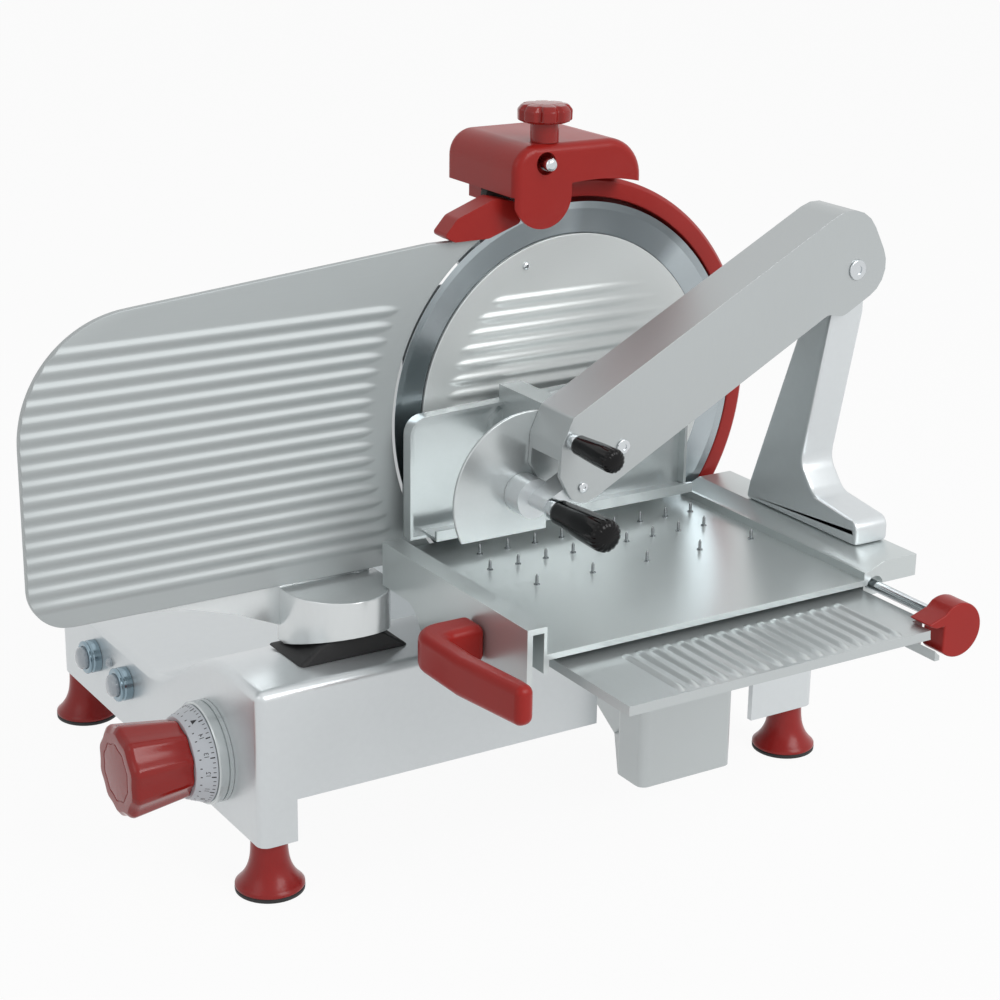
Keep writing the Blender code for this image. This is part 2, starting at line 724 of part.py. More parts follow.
def base_height(y):
    """The height of the base's top at y: level in front, then a smooth fall to the slice area."""
    share = min(max((y - BASE_FALL_START) / (BASE_FALL_END - BASE_FALL_START), 0.0), 1.0)
    return BASE_TOP + (BASE_LOW_TOP - BASE_TOP) * share * share * (3 - 2 * share)


def base_profile(inset):
    """The base's section across the machine, drawn smaller all round by the inset."""
    steps = 10
    run = [BASE_FALL_START + (BASE_FALL_END - BASE_FALL_START) * i / steps for i in range(steps + 1)]
    low = BASE_BOTTOM - BASE_CORNER * (3 if inset else 2)
    rear = BASE_REAR - inset
    tail = BASE_REAR - (BASE_LOW_TOP - BASE_REAR_EDGE) * 3
    return (
        [(BASE_FRONT + inset, low), (BASE_FRONT + inset, BASE_TOP - inset)]
        + [(y, base_height(y) - inset) for y in run]
        + [(tail, BASE_LOW_TOP - inset), (rear, BASE_REAR_EDGE - inset), (rear, low)]
    )


def many(name, shapes):
    """Several mesh objects made into one."""
    joined = bmesh.new()
    for piece in shapes:
        joined.from_mesh(piece.data)
        bpy.data.objects.remove(piece, do_unlink=True)
    mesh = bpy.data.meshes.new(name)
    joined.to_mesh(mesh)
    joined.free()
    return bpy.data.objects.new(name, mesh)


def make_base():
    """The casting: an open-bottomed shell with legs, the motor platform and its openings."""
    base = outline_solid("base_casting", base_profile(0), "x", BASE_LEFT, BASE_RIGHT)
    place(base, "cast_aluminium")
    soften(base, BASE_CORNER, 4, 50)
    below = (
        (BASE_LEFT - OVERRUN, BASE_RIGHT + OVERRUN),
        (BASE_FRONT - OVERRUN, BASE_REAR + OVERRUN),
        (BASE_BOTTOM - BASE_CORNER * 4, BASE_BOTTOM),
    )
    cut(base, box("base_foot_cut", *below))
    platform = box(
        "platform_form",
        (PLATFORM_LEFT, PLATFORM_RIGHT),
        (PLATFORM_FRONT, PLATFORM_BACK),
        (BASE_BOTTOM + BASE_WALL, PLATFORM_TOP),
    )
    join(base, platform)
    hollow = outline_solid(
        "base_hollow", base_profile(BASE_WALL), "x", BASE_LEFT + BASE_WALL, BASE_RIGHT - BASE_WALL
    )
    cut(base, hollow)
    for name, y in (
        ("front_skirt_gap", (BASE_FRONT - OVERRUN, BASE_FRONT + BASE_WALL + OVERRUN)),
        ("rear_skirt_gap", (BASE_REAR - BASE_WALL - OVERRUN, BASE_REAR + OVERRUN)),
    ):
        x = (BASE_LEFT + LEFT_LEG, BASE_RIGHT - RIGHT_LEG)
        cut(base, box(name, x, y, (BASE_BOTTOM - BASE_CORNER * 4, SKIRT_BOTTOM)))
    neck_half = NECK_WIDTH / 2 + RUNNING
    slot_y = (NECK_FRONT - RUNNING, NECK_BACK + GAUGE_TRAVEL + RUNNING)
    slot_z = (BASE_TOP - BASE_WALL - OVERRUN, BASE_TOP + OVERRUN)
    cut(base, box("gauge_slot", (SUPPORT_X - neck_half, SUPPORT_X + neck_half), slot_y, slot_z))
    rear_wall = (BASE_REAR - BASE_WALL - OVERRUN, BASE_REAR + OVERRUN)
    cut(base, rod("cord_hole", "y", (GLAND_X, GLAND_Z), *rear_wall, GLAND_RADIUS + SEAT))
    wall = (BASE_LEFT - OVERRUN, BASE_LEFT + BASE_WALL + OVERRUN)
    holes = [
        rod("dial_hole", "x", (DIAL_Y, DIAL_Z), *wall, SHAFT_RADIUS + RUNNING, ROUND),
        rod("start_hole", "x", (START_Y, BUTTON_Z), *wall, BUTTON_RADIUS + RUNNING),
        rod("stop_hole", "x", (STOP_Y, BUTTON_Z), *wall, BUTTON_RADIUS + RUNNING),
        rod("lamp_hole", "x", (LAMP_Y, LAMP_Z), *wall, LAMP_RADIUS + SEAT),
    ]
    cut(base, many("end_wall_holes", holes))


def foot_bosses(base):
    """Solid corners inside the casting that the feet are screwed to."""
    for side, x in (("left", FOOT_LEFT_X), ("right", FOOT_RIGHT_X)):
        for end, y in (("front", FOOT_FRONT_Y), ("rear", FOOT_REAR_Y)):
            low = BASE_BOTTOM + SEAT
            sunk = BASE_WALL * BOSS_SHARE
            far_x = BASE_LEFT + sunk if x < 0 else BASE_RIGHT - sunk
            far_y = BASE_FRONT + sunk if y < 0 else BASE_REAR - sunk
            near_x = x + FOOT_NECK if x < 0 else x - FOOT_NECK
            near_y = y + FOOT_NECK if y < 0 else y - FOOT_NECK
            high = BASE_REAR_EDGE - sunk if y > 0 else RAIL_Z - RAIL_RADIUS - SEAT
            xs, ys = sorted((far_x, near_x)), sorted((far_y, near_y))
            join(base, box("boss_" + end + "_" + side, xs, ys, (low, high)))


def make_base_fittings():
    base = PARTS.objects["base_casting"]
    foot_bosses(base)
    guide_block = box(
        "guide_block",
        (SUPPORT_X - GUIDE_BLOCK, SUPPORT_X + GUIDE_BLOCK),
        (GUIDE_BLOCK_FRONT, GUIDE_BLOCK_BACK),
        (NECK_BOTTOM, BASE_TOP - BASE_WALL / 2),
    )
    join(base, guide_block)
    bore = GUIDE_RADIUS + SEAT
    guide_bore = rod(
        "guide_bore",
        "y",
        (SUPPORT_X, GUIDE_Z),
        GUIDE_BLOCK_FRONT - OVERRUN,
        GUIDE_BLOCK_BACK + OVERRUN,
        bore,
    )
    cut(base, guide_bore)
    cover = box(
        "bottom_cover",
        (BASE_LEFT + BASE_WALL + BOTTOM_COVER_SETBACK, BASE_RIGHT - BASE_WALL - SEAT),
        (BOTTOM_COVER_FRONT, FOOT_REAR_Y - FOOT_NECK - SEAT),
        (SKIRT_BOTTOM + OVERRUN, SKIRT_BOTTOM + OVERRUN + BOTTOM_COVER),
    )
    place(cover, "satin_aluminium")
    top = BASE_BOTTOM - SEAT
    ground = -BLADE_HEIGHT
    spread = FOOT_RADIUS - FOOT_NECK
    for side, x in (("left", FOOT_LEFT_X), ("right", FOOT_RIGHT_X)):
        for end, y in (("front", FOOT_FRONT_Y), ("rear", FOOT_REAR_Y)):
            flare = [
                (FOOT_NECK + spread * wide, top + (ground - top) * fall)
                for fall, wide in FOOT_FLARE_SHARES
            ]
            profile = [(0, top)] + flare + [(FOOT_RADIUS - FOOT_PAD / 2, ground), (0, ground)]
            turned("foot_" + end + "_" + side, profile, "z", (x, y), ROUND, finish="red_plastic")
    gland_outside = BASE_REAR + SEAT
    profile = [
        (GLAND_BORE, gland_outside + GLAND_REACH),
        (GLAND_RADIUS, gland_outside + GLAND_REACH),
        (GLAND_FLANGE, gland_outside + GLAND_REACH / 2),
        (GLAND_FLANGE, gland_outside),
        (GLAND_RADIUS, gland_outside),
        (GLAND_RADIUS, BASE_REAR - BASE_WALL),
        (GLAND_BORE, BASE_REAR - BASE_WALL),
    ]
    turned("cord_gland", profile, "y", (GLAND_X, GLAND_Z), COARSE, True, "black_rubber")


def make_dial():
    """The fixed ring on the end wall, then the scale, knob and shaft that turn together."""
    at = (DIAL_Y, DIAL_Z)
    ring_back = BASE_LEFT - SEAT
    ring_front = ring_back - DIAL_RING_LENGTH
    bore = SHAFT_RADIUS + RUNNING
    profile = [
        (bore, ring_back),
        (DIAL_RADIUS, ring_back),
        (DIAL_RADIUS, ring_front + DIAL_EDGE_ROUND),
        (DIAL_RADIUS - DIAL_EDGE_ROUND, ring_front),
        (bore, ring_front),
    ]
    turned("dial_ring", profile, "x", at, FINE, True, "satin_aluminium")
    scale_back = ring_front - SEAT
    scale_front = scale_back - SCALE_LENGTH
    profile = [
        (SHAFT_RADIUS + SEAT, scale_back),
        (DIAL_RADIUS - DIAL_EDGE_ROUND, scale_back),
        (SCALE_SMALL_RADIUS, scale_front),
        (SHAFT_RADIUS + SEAT, scale_front),
    ]
    turned("dial_scale", profile, "x", at, FINE, True, "white_scale")
    knob_back = scale_front - SEAT
    knob_front = knob_back - KNOB_LENGTH
    knob = rod(
        "dial_knob", "x", at, knob_front, knob_back, KNOB_OUTER_RADIUS, KNOB_SIDES, KNOB_INNER_RADIUS
    )
    place(knob, "red_plastic", (knob_back, DIAL_Y, DIAL_Z))
    soften(knob, KNOB_EDGE_ROUND, 2, 20)
    bore_depth = (knob_back - KNOB_LENGTH / 2, knob_back + OVERRUN)
    cut(knob, rod("knob_bore", "x", at, *bore_depth, SHAFT_RADIUS + SEAT))
    shaft_end = knob_back - KNOB_LENGTH / 2 + SEAT
    profile = [
        (0, CAM_X + CAM_THICKNESS),
        (CAM_RADIUS, CAM_X + CAM_THICKNESS),
        (CAM_RADIUS, CAM_X),
        (SHAFT_RADIUS, CAM_X),
        (SHAFT_RADIUS, shaft_end),
        (0, shaft_end),
    ]
    turned("dial_shaft", profile, "x", at, ROUND, False, "polished_steel")


def make_buttons():
    outside = BASE_LEFT - SEAT
    for name, y in (("start", START_Y), ("stop", STOP_Y)):
        end = outside - BUTTON_BEZEL_LENGTH
        profile = [
            (BUTTON_RADIUS + SEAT, outside),
            (BUTTON_BEZEL_RADIUS, outside),
            (BUTTON_BEZEL_RADIUS, end + BUTTON_EDGE_ROUND),
            (BUTTON_BEZEL_RADIUS - BUTTON_EDGE_ROUND, end),
            (BUTTON_RADIUS + SEAT, end),
        ]
        bezel = name + "_bezel"
        turned(bezel, profile, "x", (y, BUTTON_Z), ROUND, True, "satin_aluminium")
        tip = outside - BUTTON_LENGTH
        profile = [
            (0, BASE_LEFT + BASE_WALL),
            (BUTTON_RADIUS, BASE_LEFT + BASE_WALL),
            (BUTTON_RADIUS, tip + BUTTON_EDGE_ROUND),
            (BUTTON_RADIUS - BUTTON_EDGE_ROUND, tip),
            (0, tip),
        ]
        turned(name + "_button", profile, "x", (y, BUTTON_Z), ROUND, False, "clear_button")
    profile = [
        (0, BASE_LEFT + BASE_WALL),
        (LAMP_RADIUS, BASE_LEFT + BASE_WALL),
        (LAMP_RADIUS, BASE_LEFT - LAMP_LENGTH / 2),
        (LAMP_RADIUS / 2, BASE_LEFT - LAMP_LENGTH),
        (0, BASE_LEFT - LAMP_LENGTH),
    ]
    turned("lamp", profile, "x", (LAMP_Y, LAMP_Z), COARSE, False, "clear_button")


def long_rib(name, axis_points, half, side):
    """A flat rib between two ends, the far one half round: side gives its thickness in y."""
    (x0, z), (x1, _) = axis_points
    tip = arc((x1 - half, z), half, -90, 90, RIB_TIP_STEPS)
    return outline_solid(name, [(x0, z - half)] + tip + [(x0, z + half)], "y", *side)


def gauge_outline(inset=0.0):
    """The gauge plate's outline in x and z, drawn smaller all round by the inset."""
    reach = BLADE_RADIUS + GAUGE_CLEARANCE + inset
    high = math.degrees(math.asin((GAUGE_TOP_RIGHT - inset) / reach))
    low = math.degrees(math.asin((GAUGE_BOTTOM + inset) / reach))
    corners = [
        (GAUGE_LEFT + inset, GAUGE_BOTTOM + inset, GAUGE_SMALL_CORNER),
        (GAUGE_LEFT + inset, GAUGE_TOP_LEFT - inset, GAUGE_BIG_CORNER),
        (GAUGE_LEVEL_X, GAUGE_TOP_RIGHT - inset, 0),
    ]
    return rounded(corners, 8) + arc((0, 0), reach, 180 - high, 180 - low, FINE // 2)


def make_gauge():
    """The ribbed plate with its concave edge, on a support that slides through the base."""
    back = GAUGE_FACE + GAUGE_THICKNESS
    plate = outline_solid("gauge_plate", gauge_outline(), "y", GAUGE_FACE, back)
    place(plate, "satin_aluminium")
    ribs = []
    crest = GAUGE_FACE - GAUGE_RIB_HEIGHT
    depth = (crest, GAUGE_FACE + GAUGE_RIB_HEIGHT / 2)
    for i in range(GAUGE_RIB_COUNT):
        z = GAUGE_RIB_LOWEST + i * GAUGE_RIB_PITCH
        edge = math.sqrt((BLADE_RADIUS + GAUGE_RIB_MARGIN) ** 2 - z * z * GAUGE_RIB_SWEEP_SHARE)
        start = GAUGE_LEFT - OVERRUN
        ribs.append(long_rib("rib", ((start, z), (-edge, z)), GAUGE_RIB_WIDTH / 2, depth))
    ribs = many("gauge_ribs", ribs)
    place(ribs)
    trim = outline_solid(
        "gauge_rib_trim", gauge_outline(SEAT), "y", crest - OVERRUN, GAUGE_FACE + GAUGE_RIB_HEIGHT
    )
    combine(ribs, [trim], "INTERSECT")
    join(plate, ribs)

    wing_front = back + SEAT
    wing_back = wing_front + WING_THICKNESS
    half = SUPPORT_HALF_WIDTH
    left, right = SUPPORT_X - half, SUPPORT_X + half
    reach = SUPPORT_DEPTH
    sides = [(left, wing_back), (left, -WING_THICKNESS)]
    bow = [
        (SUPPORT_X + half * math.cos(a), -WING_THICKNESS + (reach - WING_THICKNESS) * math.sin(a))
        for a in [math.radians(180 + 180 * i / SUPPORT_STEPS) for i in range(SUPPORT_STEPS + 1)]
    ]
    plan = [sides[0]] + bow + [(right, wing_back)]
    support = outline_solid("gauge_support", plan, "z", SUPPORT_BACK_BOTTOM, SUPPORT_TOP)
    place(support, "cast_aluminium")
    soften(support, SUPPORT_ROUND, 3, 50)
    front = -reach - OVERRUN
    under = [
        (wing_back + OVERRUN, SUPPORT_BACK_BOTTOM - OVERRUN),
        (wing_back + OVERRUN, SUPPORT_BACK_BOTTOM),
        (0, SUPPORT_BACK_BOTTOM),
        (front, SUPPORT_BACK_BOTTOM - front * SUPPORT_SLOPE),
        (front, SUPPORT_BACK_BOTTOM - OVERRUN),
    ]
    cut(support, outline_solid("support_under", under, "x", left - OVERRUN, right + OVERRUN))
    fall = WING_BOTTOM - GAUGE_BOTTOM
    run = SUPPORT_X - WING_LEFT
    sag = [(WING_LEFT + run * across, GAUGE_BOTTOM + fall * down) for across, down in WING_SAG_SHARES]
    wing_right = right - WING_THICKNESS
    wing = [(WING_LEFT, WING_TOP)] + sag + [(wing_right, WING_BOTTOM), (wing_right, WING_TOP)]
    join(support, outline_solid("support_wing", wing, "y", wing_front, wing_back))
    neck_x = (SUPPORT_X - NECK_WIDTH / 2, SUPPORT_X + NECK_WIDTH / 2)
    neck_y = (NECK_FRONT, NECK_BACK)
    join(support, box("support_neck", neck_x, neck_y, (NECK_BOTTOM, SUPPORT_TOP - SUPPORT_ROUND)))
    bore = (NECK_FRONT - OVERRUN, NECK_BACK + OVERRUN)
    slide = rod("support_bore", "y", (SUPPORT_X, GUIDE_Z), *bore, GUIDE_RADIUS + SEAT)
    cut(support, slide)

    seal_low = BASE_TOP + SEAT
    seal_top = SEAL_TOP
    outer = [
        (SUPPORT_X - SEAL_HALF_WIDTH, SEAL_BACK, SEAL_ROUND),
        (SUPPORT_X - SEAL_HALF_WIDTH, SEAL_FRONT, SEAL_ROUND),
        (SUPPORT_X + SEAL_HALF_WIDTH, SEAL_FRONT, SEAL_ROUND),
        (SUPPORT_X + SEAL_HALF_WIDTH, SEAL_BACK, SEAL_ROUND),
    ]
    seal = outline_solid("gauge_seal", rounded(outer), "z", seal_low, seal_top)
    place(seal, "black_rubber")
    above = [
        (SEAL_BACK + OVERRUN, SUPPORT_BACK_BOTTOM - RUNNING),
        (0, SUPPORT_BACK_BOTTOM - RUNNING),
        (front, SUPPORT_BACK_BOTTOM - front * SUPPORT_SLOPE - RUNNING),
        (front, SEAL_TOP + OVERRUN),
        (SEAL_BACK + OVERRUN, SEAL_TOP + OVERRUN),
    ]
    reach = (left - SEAL_ROUND, right + SEAL_ROUND)
    cut(seal, outline_solid("seal_above", above, "x", *reach))
    slot = (
        (neck_x[0] - RUNNING, neck_x[1] + RUNNING),
        (NECK_FRONT - RUNNING, NECK_BACK + GAUGE_TRAVEL + RUNNING),
    )
    cut(seal, box("seal_slot", *slot, (seal_low - OVERRUN, seal_top + OVERRUN)))
    guide = (BASE_FRONT + BASE_WALL + SEAT, GUIDE_BLOCK_BACK + OVERRUN)
    guide_rod = rod("gauge_guide", "y", (SUPPORT_X, GUIDE_Z), *guide, GUIDE_RADIUS)
    place(guide_rod, "polished_steel")


def make_blade():
    """The cupped blade, its hub and spindle, the ribbed cover plate and the rod that holds it."""
    web_front = BLADE_WEB_BACK - BLADE_WEB
    step = COVER_RADIUS + RUNNING
    tie_bore = TIE_RADIUS + RUNNING
    profile = [
        (tie_bore, BLADE_WEB_BACK),
        (BLADE_RADIUS - BLADE_BACK_BEVEL - BLADE_WEB, BLADE_WEB_BACK),
        (BLADE_RADIUS - BLADE_BACK_BEVEL, BLADE_WEB_BACK - BLADE_RECESS),
        (BLADE_RADIUS, BLADE_EDGE),
        (BLADE_RADIUS, 0),
        (step, BLADE_RECESS),
        (step, web_front),
        (tie_bore, web_front),
    ]
    turned("blade", profile, "y", (0, 0), 2 * FINE, True, "polished_steel")
    cover = rod(
        "blade_cover", "y", (0, 0), COVER_FACE, COVER_FACE + COVER_THICKNESS, COVER_RADIUS, 2 * FINE
    )
    place(cover, "satin_aluminium")
    ribs = []
    inner = COVER_RADIUS - COVER_RIB_MARGIN
    pitch = GAUGE_RIB_PITCH
    depth = (COVER_FACE - COVER_RIB_HEIGHT, COVER_FACE + COVER_RIB_HEIGHT / 2)
    for i in range(COVER_RIB_COUNT):
        z = COVER_RIB_TOP - i * pitch
        half_run = math.sqrt(inner * inner - z * z)
        rib = rounded(
            [
                (-half_run, z - GAUGE_RIB_WIDTH / 2, GAUGE_RIB_WIDTH / 2 - MERGE),
                (half_run, z - GAUGE_RIB_WIDTH / 2, GAUGE_RIB_WIDTH / 2 - MERGE),
                (half_run, z + GAUGE_RIB_WIDTH / 2, GAUGE_RIB_WIDTH / 2 - MERGE),
                (-half_run, z + GAUGE_RIB_WIDTH / 2, GAUGE_RIB_WIDTH / 2 - MERGE),
            ]
        )
        ribs.append(outline_solid("cover_rib", rib, "y", *depth))
    join(cover, many("cover_ribs", ribs))
    hub_front = BLADE_WEB_BACK + SEAT
    hub_back = hub_front + HUB_THICKNESS
    profile = [
        (tie_bore, SPINDLE_END),
        (SPINDLE_RADIUS, SPINDLE_END),
        (SPINDLE_RADIUS, hub_back),
        (HUB_RADIUS, hub_back),
        (HUB_RADIUS, hub_front),
        (tie_bore, hub_front),
    ]
    turned("spindle", profile, "y", (0, 0), ROUND, True, "polished_steel")
    knob_front = CASE_BACK + SEAT
    profile = [
        (0, knob_front + TIE_KNOB_LENGTH),
        (TIE_KNOB_RADIUS * TIE_KNOB_SHARE, knob_front + TIE_KNOB_LENGTH),
        (TIE_KNOB_RADIUS, knob_front + TIE_KNOB_LENGTH * TIE_KNOB_SHARE),
        (TIE_KNOB_RADIUS, knob_front),
        (TIE_RADIUS, knob_front),
        (TIE_RADIUS, COVER_FACE + COVER_THICKNESS + SEAT),
        (0, COVER_FACE + COVER_THICKNESS + SEAT),
    ]
    turned("cover_tie_knob", profile, "y", (0, 0), ROUND, False, "black_plastic")


def make_drive():
    bearing = (BOSS_BACK - BEARING_WIDTH, BOSS_BACK)
    profile = [
        (SPINDLE_RADIUS + SEAT, bearing[1]),
        (BEARING_RADIUS, bearing[1]),
        (BEARING_RADIUS, bearing[0]),
        (SPINDLE_RADIUS + SEAT, bearing[0]),
    ]
    turned("spindle_bearing", profile, "y", (0, 0), ROUND, True, "polished_steel")
    back = PULLEY_FRONT + PULLEY_WIDTH
    for name, at, bore, radius in (
        ("spindle_pulley", (0, 0), SPINDLE_RADIUS + SEAT, PULLEY_RADIUS),
        ("motor_pulley", (MOTOR_X, MOTOR_Z), 0, MOTOR_PULLEY_RADIUS),
    ):
        rim = radius + PULLEY_FLANGE
        outer = [
            (rim, back),
            (rim, back - PULLEY_FLANGE),
            (radius, back - PULLEY_FLANGE),
            (radius, PULLEY_FRONT + PULLEY_FLANGE),
            (rim, PULLEY_FRONT + PULLEY_FLANGE),
            (rim, PULLEY_FRONT),
        ]
        if bore:
            profile = [(bore, back)] + outer + [(bore, PULLEY_FRONT)]
        else:
            shaft_end = MOTOR_FRONT - RUNNING
            shaft = [(0, shaft_end), (MOTOR_SHAFT, shaft_end), (MOTOR_SHAFT, back)]
            profile = shaft + outer + [(0, PULLEY_FRONT)]
        turned(name, profile, "y", at, ROUND, bool(bore), "cast_aluminium")
    middle = (PULLEY_FRONT + back) / 2
    distance = math.hypot(MOTOR_X, MOTOR_Z)
    lean = math.degrees(math.atan2(MOTOR_Z, MOTOR_X))
    wrap = math.degrees(math.acos((PULLEY_RADIUS - MOTOR_PULLEY_RADIUS) / distance))

    def loop(extra):
        large = arc((0, 0), PULLEY_RADIUS + extra, lean + wrap, lean + 360 - wrap, ROUND)
        small = arc(
            (MOTOR_X, MOTOR_Z), MOTOR_PULLEY_RADIUS + extra, lean - wrap, lean + wrap, COARSE
        )
        return large + small

    belt_y = (middle - BELT_WIDTH / 2, middle + BELT_WIDTH / 2)
    belt = band("belt", loop(SEAT + BELT_THICKNESS), loop(SEAT), "y", *belt_y)
    place(belt, "black_rubber")
    motor = rod("motor", "y", (MOTOR_X, MOTOR_Z), MOTOR_FRONT, MOTOR_BACK, MOTOR_RADIUS, ROUND)
    place(motor, "motor_grey")
    soften(motor, MOTOR_ROUND, 2, 50)
    cradle = (
        (MOTOR_X - MOTOR_RADIUS * CRADLE_SHARE, MOTOR_X + MOTOR_RADIUS * CRADLE_SHARE),
        (MOTOR_FRONT + CRADLE_INSET, MOTOR_BACK - CRADLE_INSET),
        (PLATFORM_TOP + SEAT, MOTOR_Z),
    )
    join(motor, box("motor_cradle", *cradle))


def make_housing():
    """The casting that carries the spindle, with the ring guard and the left wedge on it."""
    front, back = HOUSING_FRONT, HOUSING_FRONT + HOUSING_THICKNESS
    rim = arc((0, 0), HOUSING_RIM, HOUSING_RIM_START, HOUSING_RIM_END, FINE // 2)
    disc = arc((0, 0), HOUSING_DISC, HOUSING_RIM_END, HOUSING_RIM_START + 360, FINE // 2)
    housing = outline_solid("blade_housing", rim + disc, "y", front, back)
    place(housing, "cast_aluminium")
    join(housing, rod("housing_boss", "y", (0, 0), BOSS_FRONT, BOSS_BACK, HOUSING_BOSS, ROUND))
    pedestal = (
        (PEDESTAL_LEFT, PEDESTAL_RIGHT),
        (front, front + PEDESTAL_DEPTH),
        (PLATFORM_TOP + SEAT, PEDESTAL_TOP),
    )
    join(housing, box("housing_pedestal", *pedestal))
    lug = [
        (LUG_SPAN * math.cos(math.radians(a)), LUG_SPAN * math.sin(math.radians(a)))
        for a in (LUG_START, LUG_END)
    ]
    root = [
        (LUG_ROOT * math.cos(math.radians(a)), LUG_ROOT * math.sin(math.radians(a)))
        for a in (LUG_END, LUG_START)
    ]
    join(housing, outline_solid("wedge_lug", lug + root, "y", WEDGE_BACK + SEAT, back))
    seat = (BOSS_BACK - BEARING_WIDTH - SEAT, BOSS_BACK + OVERRUN)
    cut(housing, rod("bearing_seat", "y", (0, 0), *seat, BEARING_RADIUS + SEAT, ROUND))
    bore = (BOSS_FRONT - OVERRUN, BOSS_BACK)
    cut(housing, rod("spindle_bore", "y", (0, 0), *bore, SPINDLE_RADIUS + RUNNING, ROUND))

    section = [
        (GUARD_INNER, GUARD_FRONT, GUARD_ROUND),
        (GUARD_OUTER, GUARD_FRONT, GUARD_ROUND),
        (GUARD_OUTER, front - SEAT, GUARD_ROUND),
        (GUARD_WEB_INNER, front - SEAT, 0),
        (GUARD_WEB_INNER, front - SEAT - GUARD_WEB, 0),
        (GUARD_INNER, front - SEAT - GUARD_WEB, 0),
    ]
    guard = swept("ring_guard", rounded(section, 2), GUARD_START, GUARD_END, FINE)
    place(guard, "red_plastic")

    corners = []
    for angle, share, radius in WEDGE_CORNERS:
        place_of_corner = arc((0, 0), BLADE_RADIUS * share, angle, angle, 1)[0]
        corners.append((*place_of_corner, radius))
    points = rounded(corners, 4)
    wedge = outline_solid("guard_wedge", points, "y", WEDGE_FRONT, WEDGE_BACK)
    place(wedge, "red_plastic")
    hollow = (WEDGE_RELIEF_FRONT, WEDGE_BACK + OVERRUN)
    relief = rod("wedge_relief", "y", (0, 0), *hollow, BLADE_RADIUS + RUNNING * 2, 2 * FINE)
    cut(wedge, relief)

    flap = [
        (DEFLECTOR_ROOT, front - SEAT - DEFLECTOR_THICKNESS),
        (DEFLECTOR_ROOT, front - SEAT),
        (DEFLECTOR_LEFT + DEFLECTOR_THICKNESS, front - SEAT),
        (DEFLECTOR_LEFT + DEFLECTOR_THICKNESS, DEFLECTOR_BACK),
        (DEFLECTOR_LEFT, DEFLECTOR_BACK),
        (DEFLECTOR_LEFT, front - SEAT - DEFLECTOR_THICKNESS),
    ]
    sheet = outline_solid("slice_deflector", flap, "z", DEFLECTOR_BOTTOM, DEFLECTOR_TOP)
    place(sheet, "satin_aluminium")


def make_case():
    low = PLATFORM_TOP + SEAT
    corners = [
        (CASE_LEFT, low, 0),
        (CASE_LEFT, CASE_TOP, CASE_CORNER),
        (CASE_RIGHT, CASE_TOP, CASE_CORNER),
        (CASE_RIGHT, low, 0),
    ]
    case = outline_solid("motor_case", rounded(corners, 6), "y", CASE_FRONT, CASE_BACK)
    place(case, "satin_aluminium")
    inner = [
        (CASE_LEFT + CASE_WALL, low - OVERRUN, 0),
        (CASE_LEFT + CASE_WALL, CASE_TOP - CASE_WALL, CASE_CORNER - CASE_WALL),
        (CASE_RIGHT - CASE_WALL, CASE_TOP - CASE_WALL, CASE_CORNER - CASE_WALL),
        (CASE_RIGHT - CASE_WALL, low - OVERRUN, 0),
    ]
    room = (CASE_FRONT + CASE_WALL, CASE_BACK - CASE_WALL)
    cut(case, outline_solid("case_inside", rounded(inner, 6), "y", *room))
    hole = (CASE_FRONT - OVERRUN, CASE_FRONT + CASE_WALL + OVERRUN)
    cut(case, rod("case_boss_hole", "y", (0, 0), *hole, HOUSING_BOSS + RUNNING, ROUND))
    hole = (CASE_BACK - CASE_WALL - OVERRUN, CASE_BACK + OVERRUN)
    cut(case, rod("case_tie_hole", "y", (0, 0), *hole, TIE_RADIUS + RUNNING))


